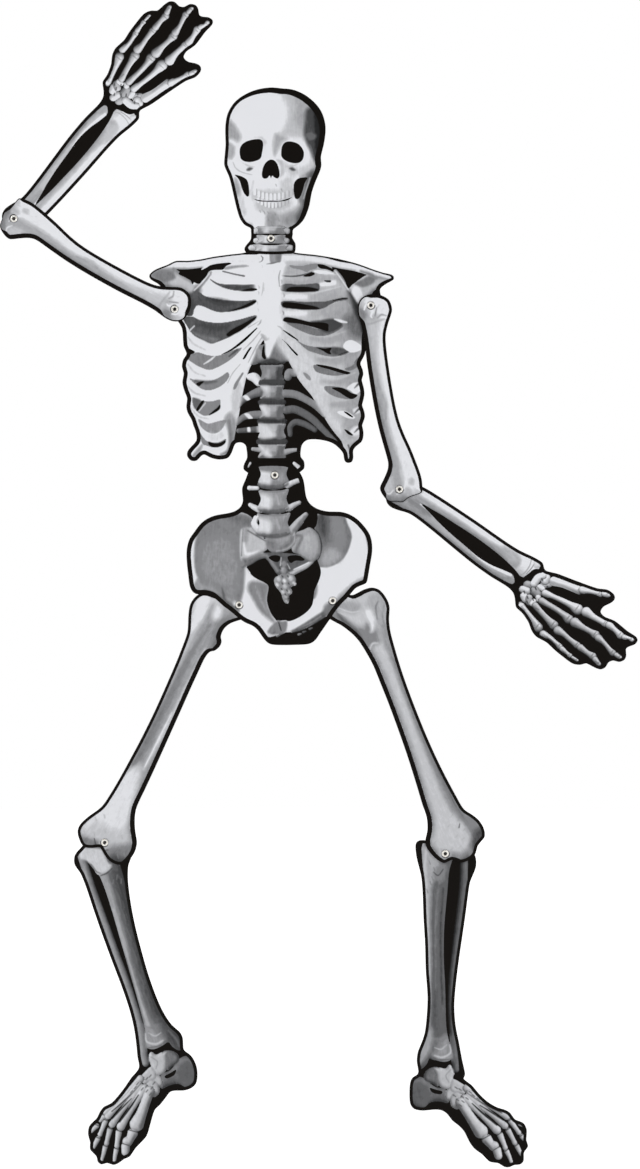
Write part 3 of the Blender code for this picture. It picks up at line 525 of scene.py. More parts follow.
def paint_right_ribs(ink):
    """The ribs on the viewer's right, in shade."""
    ink.plate([(4, 158), (60, 154), (80, 136), (92, 122), (100, 112), (112, 100), (122, 60), (119, 30),
        (121, 0), (122, -40), (120, -66), (110, -78), (101, -82), (104, -96), (97, -105), (92, -92),
        (88, -78), (80, -68), (72, -57), (64, -44), (57, -32), (50, -20), (40, -8), (32, 3), (24, 18),
        (16, 32), (6, 46), (4, 60), (8, 100)], 0.74, 0.12, 5, gap=None)
    ink.tint([(8, 150), (13, 148), (12, 110), (14, 80), (22, 62), (40, 40), (60, 20), (80, 0), (70, -30),
        (90, -60), (80, -66), (60, -36), (34, 0), (20, 24), (4, 46), (0, 90), (0, 150)], 0.84, 10.0, 0.8)
    ink.tint([(60, 110), (90, 106), (100, 92), (104, 60), (112, 30), (116, 0), (114, -30), (110, -64),
        (96, -74), (90, -50), (94, -20), (92, 10), (86, 40), (80, 66), (62, 84)], 0.64, 12.0)
    ink.tint([(-20, 150), (6, 150), (9.5, 130), (10, 100), (9, 84), (13, 66), (3, 52), (-10, 56),
        (-20, 90)], 0.95, 10.0)
    # each rib: light by the breastbone, and shaded where it turns away
    for v, rise in ((129, -1), (105, 6), (84, 9)):
        ink.tint_line([(16, v, 3.0), (30, v, 4.0), (42, v, 3.0)], 0.93, 8.4)
        ink.tint_line([(52, v - 1, 5.0), (72, v + rise * 0.6, 5.0), (88, v + rise * 1.3, 5.0)], 0.68, 8.4,
            0.8)
        ink.tint_line([(50, v + 4, 0.6), (72, v + 5 + rise * 0.7, 0.8), (86, v + 5 + rise * 1.3, 0.4)],
            0.84, 2.5)
    for line in ([(50, 52, 3), (72, 50, 5), (96, 58, 5)], [(58, 25, 3), (80, 24, 5), (104, 33, 4)],
                 [(64, -2, 3), (84, -3, 4), (104, 4, 5)], [(76, -31, 3), (94, -30, 4), (108, -24, 4)]):
        ink.tint_line(line, 0.62, 8.0, 0.7)
        ink.tint_line([(u, v + 5, 0.5) for u, v, _ in line], 0.8, 4.2, 0.7)
    ink.tint([(8.6, 136), (18, 143), (60, 146), (62, 122), (40, 119), (14, 119), (9, 124)], 0.66, 4.0, 0.8)
    ink.tint([(98, 114), (106, 106), (112, 92), (124, 88), (124, 48), (114, 48), (102, 54), (94, 64),
        (90, 78), (98, 84), (100, 92), (95, 104)], 0.42, 14.0)
    ink.tint_line([(97, 112, 1.0), (104, 102, 3.4), (107, 88, 3.4), (112, 74, 2.0), (114, 62, 1.0)], 0.14,
        7.0)
    ink.tint([(22, 144.6), (36, 143.6), (50, 146.4), (58, 146.4), (56, 141), (48, 138.4), (44, 136),
        (36, 139), (26, 141)], 0.52, 0.8)
    ink.tint_line([(10, 131.6, 0.6), (26, 130.6, 0.8), (42, 133, 1.0), (50, 136, 0.6)], 0.3, 1.0)
    ink.cut([(39, 130.6), (45, 134), (51, 136), (54, 133.4), (48, 130.4)])
    ink.cut([(57.6, 146), (66, 145), (76, 140.4), (84, 137), (80, 135), (70, 139), (60, 141)])
    ink.tint([(52, 137.4), (60, 138.6), (70, 137), (78, 134), (70, 133.6), (58, 134)], 0.92, 1.2)
    ink.tint([(60, 122), (68, 124), (80, 126), (80, 120), (70, 118.4), (61, 118)], 0.9, 3.0)
    ink.tint([(66, 125.6), (74, 125.4), (73, 123), (68, 123.6)], 0.14, 0.8)
    ink.tint([(10.6, 118.6), (20, 121.6), (32, 120), (46, 121), (58, 121.6), (60, 116), (58, 112),
        (48, 110.8), (32, 110.6), (18, 111.2), (11, 113)], 0.32, 0.6)
    ink.hollow([(18, 112.4), (22, 116.6), (34, 117.4), (46, 117), (57, 114.6), (57, 112.6), (44, 111.4),
        (28, 111.2)], 3.0)
    ink.tint([(12, 98.6), (24, 99.6), (40, 98.4), (54, 98.6), (66, 98.8), (76, 101), (90, 104),
        (95.6, 103.4), (94, 101), (82, 99), (73, 95), (66, 91), (57, 88.8), (42, 88.4), (26, 89.6),
        (13.6, 91.6)], 0.32, 0.6)
    ink.hollow([(13, 95), (16, 98), (30, 97), (44, 94.6), (54, 92.6), (60, 90), (56, 89.2), (40, 89),
        (26, 90.4), (15, 92)], 3.0)
    ink.cut_line([(76, 99.6, 0.4), (86, 102, 0.8), (95, 103, 0.4)])
    ink.tint([(18, 72.6), (30, 71.6), (45, 68), (60, 63.6), (72, 64), (80, 70), (90, 68.6), (84, 63),
        (77, 59), (68, 56), (58, 55.4), (46, 58), (34, 63), (24, 68)], 0.44, 0.6)
    ink.tint([(48, 73), (60, 75), (76, 77), (88, 72), (86, 66), (76, 61), (68, 60), (56, 66)], 0.22, 4.0)
    ink.hollow([(14, 75), (17, 79), (27, 78), (38, 75.4), (50, 72.6), (60, 72.6), (70, 71), (71, 66),
        (70, 61.6), (60, 64.6), (47, 68), (34, 71), (20, 72.6)], 2.0)
    ink.tint_line([(79, 76.6, 0.9), (87, 74, 1.9), (94, 72.6, 1.0)], 0.88, 1.2)
    ink.tint([(30, 51), (40, 45), (52, 42), (64, 41.6), (78, 41), (90, 39.6), (97, 36.6), (92, 32),
        (80, 29.8), (68, 30.4), (58, 33), (46, 37), (38, 43)], 0.46, 0.6)
    ink.tint([(74, 41), (86, 40.6), (95, 36.6), (86, 32), (76, 33)], 0.3, 4.0)
    ink.hollow([(56, 41), (66, 39.6), (74.6, 40.6), (73, 36), (74.6, 32.6), (70, 33.4), (63, 37.6)], 2.0)
    ink.cut_line([(14, 63, 0.5), (23, 56.6, 1.2), (33, 50, 0.6)])
    ink.tint_line([(84, 31.4, 0.5), (92, 34.4, 0.9), (98, 36.6, 0.6)], 0.16, 0.8)
    ink.tint([(89.6, 42), (92, 47.6), (99, 50.4), (107, 47.4), (114, 41), (109, 36.4), (100, 34.6),
        (93, 38)], 0.94, 1.0)
    ink.cut_line([(12, 52, 0.3), (18, 46.6, 0.5), (24, 39.6, 1.0), (31.6, 31.6, 1.2)])
    ink.tint([(39, 9), (43.6, 8.4), (48.6, 3), (48, -0.6), (43, 2.4)], 0.56, 0.8)
    ink.tint([(52, 17), (54, 19), (66, 17.6), (80, 14), (93, 10), (90, 6.4), (76, 5.6), (64, 7.6),
        (55, 11)], 0.46, 0.6)
    ink.cut([(55, 19.6), (66, 18.6), (80, 15.4), (92, 11.6), (99, 9), (94, 7), (84, 9.6), (72, 13.4),
        (61, 16.4)])
    ink.tint([(92, 14.6), (100, 17.4), (108, 24), (109, 18), (101, 12.6), (94, 12)], 0.46, 1.0)
    ink.tint([(65.6, -9), (72, -7.4), (82, -8.6), (92, -11), (104, -19), (100, -23.6), (90, -23.6),
        (78, -20.4), (69, -15)], 0.48, 0.6)
    ink.cut([(75, -10), (85, -9.4), (93, -11.6), (100, -16.4), (108, -19), (101.6, -24), (94, -21.6),
        (85, -15.6)])
    ink.tint([(94, -10), (104, -3), (113, -5), (111, -14), (105, -18), (99, -13.6)], 0.9, 1.2)
    ink.tint([(82, -40), (92, -39), (104, -46), (102, -49), (94, -47.6), (86, -43.6)], 0.92, 1.2)
    ink.cut([(90, -39.6), (95, -40.8), (102.6, -46.6), (100, -46.8), (95, -43.8)])
    ink.tint([(102, -37), (113, -33), (113, -39), (105, -43)], 0.86, 3.0)
    ink.tint([(98, -64), (105, -58), (114, -60), (110, -68), (104, -71), (100, -68)], 0.88, 4.0)
    ink.cut([(91, -62), (96, -64), (102, -69), (100, -70), (95, -67.6)])
    ink.tint_line([(88, -80, 0.9), (93, -88, 1.2), (96, -98, 1.0)], 0.8, 1.5)
    ink.tint_line([(96, -82, 1.0), (99, -90, 1.2)], 0.4, 1.5)
    # notches between the rib ends at the card's edge
    for v in (28, -4, -36, -60):
        ink.tint_line([(114, v + 2, 0.8), (109, v - 1, 1.2), (104, v - 6, 0.4)], 0.34, 2.0)


def paint_shoulder_blades(ink):
    """The collar bones and the tops of the shoulder blades at each side."""
    # viewer's left
    ink.plate([(-154, 138), (-144, 144), (-126, 142), (-116, 136), (-104, 128), (-98, 120), (-80, 137),
        (-76, 133), (-92, 112), (-104, 100), (-130, 96), (-150, 120)], 0.6, 0.2, 5, gap=None)
    ink.tint([(-96, 116), (-90, 112), (-98, 102), (-112, 96), (-120, 104), (-108, 108)], 0.34, 10.0)
    ink.tint([(-124, 134), (-112, 128), (-98, 118), (-104, 110), (-120, 112), (-130, 124)], 0.78, 6.0)
    ink.tint([(-150, 134), (-140, 138), (-126, 136), (-122, 128), (-136, 124), (-148, 128)], 0.48, 5.0)
    ink.tint_line([(-79, 134, 0.8), (-88, 123, 1.0), (-98, 113, 0.8)], 0.86, 1.5)
    ink.cut([(-118, 134), (-110, 139), (-98, 139), (-90, 138.4), (-82, 142), (-74, 147), (-62, 148.6),
        (-51, 147), (-58, 143.4), (-62, 139), (-72, 138.6), (-79, 137), (-82.6, 131), (-88, 125),
        (-92.4, 121), (-101, 124.6), (-110, 129.6)])
    ink.bone([(-20, 153, 5), (-45, 153, 4.6), (-70, 150.6, 4.2), (-90, 146, 4.4), (-110, 144, 4.6),
        (-130, 145, 4.6), (-140, 143, 3)], 0.93, 0.14, gap=None)
    ink.tint_line([(-88, 141.6, 0.8), (-104, 139.6, 1.4), (-124, 140, 1.6)], 0.56, 4.2)
    # viewer's right
    ink.plate([(96, 116), (104, 122), (112, 128), (124, 134), (140, 130), (152, 128), (142, 120),
        (128, 112), (118, 96), (108, 96), (100, 108)], 0.72, 0.25, 5, gap=None)
    ink.tint([(104, 121), (114, 127), (123, 131), (130, 128), (126, 121), (114, 117)], 0.46, 4.0)
    ink.tint([(100, 112), (104, 119), (112, 114), (116, 100), (110, 96), (104, 104)], 0.92, 5.0)
    ink.bone([(80, 137, 2.4), (86, 130, 2.4), (91.6, 121, 2.4), (98, 112, 2.2)], 0.62, 0.3, gap=None)
    ink.tint_line([(80, 137, 0.8), (88, 126, 1.0), (96, 114, 0.8)], 0.84, 1.4)
    ink.cut([(86, 136), (92, 137.6), (99, 135.4), (112, 137.4), (119, 132.6), (111, 128.6), (104, 123.4),
        (97, 115.6), (94, 119), (90.6, 128)])
    ink.bone([(14, 153, 5), (40, 153, 4.8), (64, 150, 4.4), (84, 145, 4.2), (104, 141.6, 4.2),
        (124, 136, 4.4), (140, 131, 4), (149, 128.6, 2.6)], 0.9, 0.14, gap=None)
    ink.tint_line([(60, 145.6, 0.8), (84, 140.6, 1.2), (104, 137.6, 1.0)], 0.6, 4.2)
    ink.tint_line([(112, 137, 1.4), (124, 133, 2.0), (132, 128, 1.4)], 0.5, 4.2)
    ink.tint_line([(132, 130, 1.4), (148, 126, 1.4)], 0.56, 4.2)
    # the breastbone's top, behind the neck
    ink.tint([(-24, 148), (0, 150), (16, 148), (14, 132), (8, 100), (-14, 100), (-22, 130)], 0.95, 8.0)
    ink.tint([(-2, 164), (11, 164), (10.8, 149.6), (7, 148.6), (-2, 147.4)], 0.58, 3.0)
    ink.tint([(5, 164), (11, 164), (10.8, 150), (6, 150)], 0.44, 3.0, 0.7)
    ink.tint_line([(-14, 156.6, 0.4), (-11.6, 153.6, 0.8), (-13, 149.8, 0.5), (-16, 148.6, 0.3)], 0.44, 1.2)
    ink.tint_line([(-7, 146.2, 0.3), (0, 147, 0.7), (7, 148.8, 0.6), (10.6, 150, 0.3)], 0.4, 1.4)
    # the joins of the rib cartilages down its edges, and the marks of age on it
    ink.tint_line([(10.4, 138, 0.4), (8.6, 130, 0.7), (9.4, 118, 0.5)], 0.56, 1.8)
    ink.tint_line([(-11, 123, 0.4), (-11.4, 114, 1.0), (-13.4, 106, 0.4)], 0.74, 1.8)
    ink.tint_line([(-9, 122, 0.2), (-9.6, 112, 0.5)], 0.8, 1.4)
    for u, v, tone in ((-16, 117, 0.76), (-16.6, 110, 0.74), (-18, 97, 0.78), (-17, 88, 0.8),
                       (15.4, 107, 0.62), (14.6, 84.6, 0.5), (12.6, 124, 0.66), (-12, 143, 0.84),
                       (-5, 139, 0.86), (3, 136, 0.84)):
        ink.tint_line([(u - 1, v + 2, 0.5), (u, v, 0.8), (u - 0.4, v - 2.4, 0.4)], tone, 1.8)
    ink.tint_line([(-13.6, 76, 0.4), (-15, 72, 0.9), (-18, 69, 0.5)], 0.62, 1.8)
    ink.tint_line([(7, 68, 0.5), (11, 66, 0.9), (14, 62, 0.5)], 0.7, 2.0)


def paint_pelvis(ink):
    # the two wings and the arch below them
    ink.plate([(-120, -100), (-112, -60), (-84, -44), (-56, -45), (-36, -49), (-27, -57), (-30, -66),
        (-38, -70), (-42, -84), (-42, -102), (-37, -114), (-28, -126), (-14, -135), (-8, -141), (-10, -158),
        (-5, -174), (2, -184), (6, -198), (-10, -204), (-30, -188), (-60, -172), (-90, -156), (-118, -150)],
        0.93, 0.2, 6)
    ink.plate([(124, -100), (116, -60), (92, -44), (60, -44), (50, -52), (50, -66), (53, -84), (53, -104),
        (58, -120), (56, -132), (50, -146), (47, -164), (36, -176), (20, -184), (8, -184), (8, -196),
        (18, -198), (36, -194), (62, -178), (76, -176), (104, -140), (124, -130)], 0.93, 0.16, 6)
    # the left wing's shallow bowl, darker at the top and along the inner rim
    ink.tint([(-97, -72), (-90, -61), (-79, -53.5), (-64, -50), (-48, -49), (-34, -52), (-26, -58),
        (-30, -66), (-39, -72), (-43, -84), (-42, -102), (-38, -116), (-38, -130), (-40, -150), (-46, -160),
        (-64, -152), (-76, -144), (-92, -138), (-99, -122), (-101, -96)], 0.5, 6.0)
    ink.tint([(-98, -131), (-88, -135), (-72, -141), (-58, -147), (-50, -154), (-53, -168), (-44, -177),
        (-32, -188), (-44, -196), (-72, -174), (-102, -150)], 0.56, 5.0, 0.85)
    ink.tint([(-90, -90), (-76, -80), (-60, -80), (-50, -90), (-46, -110), (-48, -140), (-56, -150),
        (-70, -140), (-86, -134), (-94, -116)], 0.58, 16.0)
    ink.tint([(-66, -50), (-42, -49), (-28, -54), (-26, -60), (-36, -64), (-50, -60)], 0.44, 12.0)
    ink.tint_line([(-88, -66, 1.0), (-98, -84, 1.4), (-99, -116, 1.2), (-92, -134, 0.8)], 0.5, 5.6)
    ink.tint_line([(-46, -76, 1.0), (-46, -98, 2.0), (-42, -116, 1.4)], 0.52, 7.0)
    ink.tint([(-67, -142), (-64, -148), (-62, -158), (-65, -156)], 0.3, 6.0)
    ink.tint_line([(-88, -145, 1.0), (-70, -153, 1.6), (-58, -162, 2.0), (-46, -171, 1.6)], 0.4, 4.9)
    ink.tint_line([(-36, -152, 1.0), (-30, -166, 1.6), (-18, -182, 1.6), (-10, -192, 1.0)], 0.98, 7.0)
    ink.tint([(-30, -134), (-13, -136), (-7.6, -141), (-10.6, -158), (-5, -175), (0, -186), (-10, -180),
        (-20, -170), (-28, -156), (-34, -144)], 0.5, 8.0)
    ink.tint_line([(-24, -140, 2.0), (-18, -156, 2.4), (-9, -174, 1.4)], 0.6, 7.0)
    # the right wing, its bowl grey and its outer rim bright
    ink.tint([(53, -52), (68, -47), (86, -50), (91, -60), (96.6, -74), (96, -84), (90, -100), (80, -111),
        (66, -116), (52, -114), (50, -96), (50, -80), (50, -66)], 0.44, 3.0)
    ink.tint([(70, -54), (84, -56), (90, -74), (88, -90), (78, -92), (72, -76)], 0.54, 16.0)
    ink.tint([(60, -98), (70, -90), (82, -96), (84, -104), (76, -112), (64, -116), (57, -110)], 0.66, 16.0)
    ink.tint([(54, -50), (62, -47), (66, -60), (63, -78), (56, -70)], 0.26, 14.0)
    ink.tint_line([(98, -56, 0.4), (108, -64, 0.5), (115, -78, 0.6), (118, -98, 0.6), (116, -118, 0.6)],
        0.5, 2.5)
    ink.tint_line([(60, -118, 1.0), (66, -120, 1.6), (78, -114, 0.8)], 0.98, 4.2)
    ink.tint([(46, -140), (44, -150), (50, -156), (54, -144), (52, -136)], 0.5, 5.0)
    ink.tint([(74, -176), (84, -162), (96, -148), (110, -136), (112, -130), (100, -136), (88, -146),
        (76, -158), (66, -170)], 0.5, 10.0)
    # the hollows between the wings and the backbone
    ink.cut([(34, -60), (42, -48), (52, -44), (54, -54), (52, -64), (48, -67), (40, -67), (34, -70)])
    # the front of the arch
    ink.plate([(1, -184), (8, -183.4), (16, -184), (15, -196), (8, -201), (-6, -201), (-10, -196)], 0.5,
        0.1, 3, gap=None)
    ink.tint_line([(5, -186, 0.5), (8, -196, 0.5)], 0.08, 1.5)
    ink.tint_line([(20, -191, 2.0), (28, -188, 3.0), (42, -178, 3.6), (54, -164, 3.4)], 0.97, 5.6)
    ink.cut([(36, -193), (48, -188), (60, -182), (72, -176), (80, -180), (60, -212), (20, -216), (12, -204),
        (22, -197)])
    ink.bone([(22, -197, 2.0), (34, -192, 3.6), (48, -184, 4.4), (62, -175, 4.4), (72, -166, 3.0)], 0.34,
        0.2)
    ink.tint_line([(30, -193, 0.8), (46, -186, 1.4), (58, -178, 1.0)], 0.52, 4.2)
    ink.tint([(62, -166), (70, -160), (80, -164), (72, -174), (62, -176)], 0.46, 8.0)
    for u, v, tone in ((3, -203, 0.4), (30, -201, 0.44), (36, -198, 0.3), (-3, -199, 0.4),
                       (44, -194, 0.36)):
        ink.bone([(u, v, 1.6), (u + 3.4, v + 1.2, 0.8)], tone, 0.2)
    paint_sacrum(ink)
    paint_loins(ink)
    ink.within_card(5.6)


def paint_sacrum(ink):
    """The fused bones at the foot of the spine, with the tailbone hanging into the opening."""
    # its middle, in shadow, and the strut that joins it to the left wing
    ink.plate([(-14, -99), (4, -98), (22, -99), (38, -102), (46, -108), (38, -116), (24, -124), (12, -130),
        (2, -124), (-6, -112)], 0.34, 0.2, 4)
    ink.bone([(-40, -114, 3.2), (-32, -109, 4.6), (-22, -103, 4.6), (-10, -102, 3.4), (-2, -112, 3.4),
        (4, -121, 3.0)], 0.5, 0.3, gap=None)
    ink.tint_line([(-38, -110, 1.0), (-28, -103, 1.6), (-16, -98, 1.2)], 0.74, 4.2)
    ink.cut([(-31, -123), (-26, -114), (-18, -109), (-10, -107), (-5, -114), (1, -124), (-3, -132),
        (-12, -135), (-24, -130)])
    ink.cut([(-8, -104), (0, -101), (7, -103), (5, -109), (-1, -109)])
    ink.cut([(16, -103), (26, -101), (37, -104), (36, -108), (26, -108), (20, -111)])
    ink.bone([(47, -109, 2.4), (39, -115, 3.2), (29, -120, 3.4), (18, -126, 3.4)], 0.74, 0.34, gap=None)
    ink.tint_line([(43, -110, 0.6), (33, -115, 0.8), (24, -119, 0.6)], 0.95, 1.6)
    # the wings beside it
    ink.plate([(-39, -66), (-30, -66), (-22, -74), (-14, -80), (-7, -86), (-9, -93), (-18, -99),
        (-28, -103), (-38, -110), (-44, -106), (-45, -88), (-44, -70)], 0.74, 0.16, 4, gap=None)
    ink.tint_line([(-40, -68, 0.3), (-41, -84, 0.4), (-42, -102, 0.3)], 0.36, 2.0)
    ink.tint([(-39, -68), (-33, -68), (-34, -80), (-37, -94), (-40, -92)], 0.62, 6.0)
    ink.tint_line([(-34, -70, 0.6), (-24, -76, 0.9), (-12, -83, 0.6)], 0.4, 2.0)
    ink.tint([(-41, -106), (-32, -105), (-24, -101), (-17, -100), (-24, -107), (-36, -114)], 0.44, 6.0)
    ink.tint_line([(-39, -86, 1.2), (-37, -98, 2.4), (-30, -99, 1.6), (-20, -95, 0.8)], 0.92, 5.0)
    ink.plate([(23, -76), (28, -72), (36, -69), (44, -66), (52, -71), (57, -80), (58.6, -92), (56, -102),
        (48, -110), (38, -106), (30, -100), (22, -96), (22, -84)], 0.6, 0.24, 5, gap=None)
    ink.tint_line([(46, -66, 0.3), (55, -74, 0.4), (59, -90, 0.5), (56, -104, 0.4), (49, -110, 0.3)], 0.1,
        1.4)
    ink.tint([(32, -78), (42, -74), (50, -80), (50, -94), (42, -100), (32, -92)], 0.7, 16.0)
    ink.tint_line([(27, -76, 0.8), (34, -78, 1.2), (30, -88, 1.0), (26, -96, 0.8)], 0.4, 5.6)
    # the tailbone: knobs that shrink downwards
    ink.plate([(2, -128), (12, -124), (22, -125), (27, -131), (25, -138), (20, -142), (22, -147),
        (18, -152), (18, -158), (14, -162), (10, -156), (8, -149), (4, -144), (0, -138), (-1, -132)], 0.56,
        0.3, 3, gap=0.4)
    for u, v, r, tone in ((12, -112, 4.6, 0.52), (11, -120, 5, 0.6), (5, -131, 3.6, 0.78),
                          (20, -130, 4, 0.8), (12, -133, 3, 0.9), (3, -138, 2.8, 0.86),
                          (24, -136, 2.6, 0.84), (13, -140, 3.8, 0.72), (10, -147, 2.8, 0.84),
                          (18, -147, 2.6, 0.76), (14, -153, 2.8, 0.68), (15, -159, 2, 0.74)):
        ink.bone([(u, v, r), (u + 0.8, v - 1, r)], tone, 0.3, gap=None)
    ink.specks(((7, -108), (17, -109), (6, -117), (17, -119), (9, -127), (16, -127), (9, -136), (17, -136),
        (8, -143), (15, -145), (13, -150), (17, -155)), (1.2, -1.6), (0.5, 0.4), 0.1, 1.8)
    ink.tint_line([(8, -104, 0.5), (7, -114, 0.7)], 0.8, 1.5)
    ink.tint_line([(16, -112, 0.5), (19, -118, 0.6)], 0.76, 1.5)


def loin(ink, u, v, half_width, half_height, tone):
    """A vertebra of the lower back: its foot curves down like a cup, over a thick grey disc."""
    w, h = half_width, half_height
    ink.plate([(u - w - 1, v - h + 1), (u - w * 0.6, v - h - 1), (u, v - h - 2.4),
        (u + w * 0.6, v - h - 0.6), (u + w, v - h + 2.4), (u + w * 0.96, v - h - 2.4),
        (u + w * 0.5, v - h - 6), (u, v - h - 7.4), (u - w * 0.6, v - h - 6), (u - w, v - h - 3.6)], 0.34,
        0.12, 3, gap=None)
    ink.plate([(u - w, v + h), (u - w * 0.5, v + h - 1), (u + w * 0.5, v + h - 0.4), (u + w, v + h + 1),
        (u + w * 0.84, v + 1), (u + w, v - h + 2.4), (u + w * 0.5, v - h - 0.8), (u, v - h - 2.4),
        (u - w * 0.5, v - h - 1.4), (u - w - 0.6, v - h + 1), (u - w * 0.84, v)], tone, 0.24, w * 0.8,
        gap=None)
    ink.tint([(u - w * 0.1, v + h * 0.8), (u + w * 0.9, v + h * 0.9), (u + w * 0.74, v),
        (u + w * 0.84, v - h * 0.6), (u + w * 0.2, v - h), (u + w * 0.12, v)], 0.58, 14.0)
    ink.tint_line([(u + w * 0.2, v + h * 0.4, 0.4), (u + w * 0.34, v - h * 0.5, 0.8)], 0.72, 4.2)
    ink.tint([(u - w * 0.9, v + h * 0.5), (u - w * 0.4, v + h * 0.4), (u - w * 0.14, v - h * 0.1),
        (u - w * 0.2, v - h), (u - w * 0.6, v - h), (u - w * 0.96, v - h * 0.8)], 0.86, 8.0)
    ink.tint_line([(u - w * 0.8, v + h - 1, 0.4), (u, v + h - 2, 0.9), (u + w * 0.8, v + h - 1, 0.5)], 0.5,
        2.5)


def paint_loins(ink):
    """The lower vertebrae, from the waist eyelet down, with the wings at their sides."""
    for stations, tone in (([(16, -13, 4), (24, -9, 3.4), (31, -6.6, 3.2)], 0.8),
                           ([(-22, -16.6, 2.6), (-32, -16.4, 3)], 0.86),
                           ([(18, -42, 4), (24, -38, 3.4), (31, -34.6, 2.4)], 0.74),
                           ([(-20, -44, 3.6), (-26, -40.6, 3.4), (-31, -37.6, 2.6)], 0.86),
                           ([(22, -70, 6), (30, -60, 5), (39, -50, 3)], 0.66),
                           ([(-20, -70, 4), (-26, -62, 4), (-24, -54, 3)], 0.84)):
        ink.bone(stations, tone, 0.4, gap=0.3)
    ink.tint_line([(24, -70, 1.0), (32, -60, 1.4), (38, -52, 0.8)], 0.44, 4.2)
    # the last one, which the wings join, then the others upwards, each over the one below it
    ink.plate([(-12, -80), (4, -78), (18, -76), (26, -71), (27, -80), (24, -89), (14, -96), (0, -98),
        (-8, -94)], 0.58, 0.24, 7, gap=None)
    ink.tint_line([(25, -73, 0.5), (24, -84, 0.8), (15, -93, 0.8), (2, -96, 0.4)], 0.76, 4.2)
    ink.tint_line([(21, -78, 1.0), (19, -86, 1.4), (8, -92, 1.4)], 0.42, 7.0)
    ink.tint([(-10, -82), (0, -84), (0, -93), (-8, -92)], 0.46, 8.0)
    for v, w, h, tone in ((-61, 21, 12, 0.64), (-30.6, 19, 11.6, 0.66), (0.5, 19, 11.8, 0.64)):
        loin(ink, -1.5, v, w, h, tone)
    ink.tint([(-19, 12.6), (16, 12.6), (15, 6), (0, 4), (-18, 6)], 0.5, 6.0)
    ink.tint_line([(-22, -52, 1.0), (-25, -58, 1.6), (-22, -66, 1.0)], 0.95, 2.0)


def paint_upper_arm(ink):
    u, v = ink.points.T
    thin_elbow = 1 - 0.75 * smooth_step((-232 - v) / 8)
    thin_head = 1 - 0.7 * smooth_step((v + 16) / 10) * smooth_step((u + 6) / 10)
    ink.whole_card((3.9, 5.8), 0.88, 0.26, 7.0, thin=thin_elbow * thin_head)
    # the shaded side of the shaft
    ink.tint([(3, -18), (14, -10), (22, -40), (22, -200), (9, -204), (-4, -204), (-3, -180), (0, -160),
        (1, -140), (-2, -120), (1, -100), (2, -70), (-1, -40)], 0.62, 8.0)
    ink.tint_line([(11, -30, 0.5), (12, -80, 1.6), (11, -130, 2.6), (8, -180, 2.6), (6, -204, 1.0)], 0.46,
        8.4)
    ink.tint_line([(2, -110, 0.5), (0, -122, 0.8), (3, -140, 0.6)], 0.5, 4.2)
    ink.tint([(-10, -14), (2, -12), (6, -36), (4, -64), (-3, -44)], 0.74, 12.0)
    ink.tint_line([(-6, -30, 0.5), (-1, -60, 1.4), (0, -100, 1.2), (0, -140, 0.8)], 0.8, 7.0, 0.7)
    # the head, with the groove beside it
    ink.tint([(2, 4), (12, 8), (17, 0), (15, -12), (6, -16), (-4, -16), (-8, -10), (0, -8)], 0.66, 10.0)
    ink.tint([(8, 0), (14, 2), (14, -10), (8, -12), (5, -6)], 0.46, 8.0)
    ink.tint_line([(-9, 0, 0.5), (-7, -5, 0.9), (-5, -10, 0.6)], 0.5, 2.0)
    ink.tint_line([(-19, -12, 0.4), (-13, -10, 0.9), (-8, -13, 0.6)], 0.52, 2.5)
    ink.tint_line([(-16, -16, 0.4), (-9, -17, 0.8), (2, -19, 0.8), (10, -17, 0.5)], 0.6, 4.2)
    ink.tint_line([(-2, 7, 0.6), (4, 5, 1.2), (7, 0, 0.8)], 0.98, 1.6)
    ink.tint_line([(-3, -4, 0.6), (0, -9, 1.0), (-1, -12, 0.5)], 0.95, 1.4)
    ink.specks(((-16, 8), (-13, 3), (-10, 11), (-17, -2), (-4, 15), (4, 13), (-14, -24), (-6, -22),
        (8, -22)), (2, -2.4), (0.3, 0.5), 0.74, 2.0, 0.7)
    # the elbow's end
    ink.tint([(-2, -200), (8, -200), (16, -210), (26, -222), (28, -236), (18, -250), (-8, -250),
        (-12, -240), (-4, -234), (-5, -220)], 0.62, 10.0)
    ink.tint([(-16, -246), (-8, -240), (6, -242), (18, -236), (26, -240), (12, -254), (-8, -256)], 0.4,
        10.0)
    ink.tint([(8, -214), (16, -216), (22, -228), (14, -232), (8, -226)], 0.72, 8.0)
    ink.tint_line([(-9, -220, 0.6), (-6, -228, 1.0), (-1, -234, 0.9), (6, -236, 0.6)], 0.9, 2.0)
    ink.tint_line([(9, -230, 0.6), (14, -234, 1.0), (18, -233, 0.5)], 0.86, 2.0)
    ink.tint([(-19, -221), (-13, -219), (-12, -226), (-17, -228)], 0.72, 6.0)
    ink.tint([(-12, -232), (-7, -230), (-5, -240), (-12, -240)], 0.68, 6.0)
    ink.specks(((-20, -196), (-17, -206), (-14, -212), (-21, -214), (-18, -234)), (1.6, -4), (0.3, 0.5),
        0.78, 2.0, 0.7)
    ink.within_card(0.9)


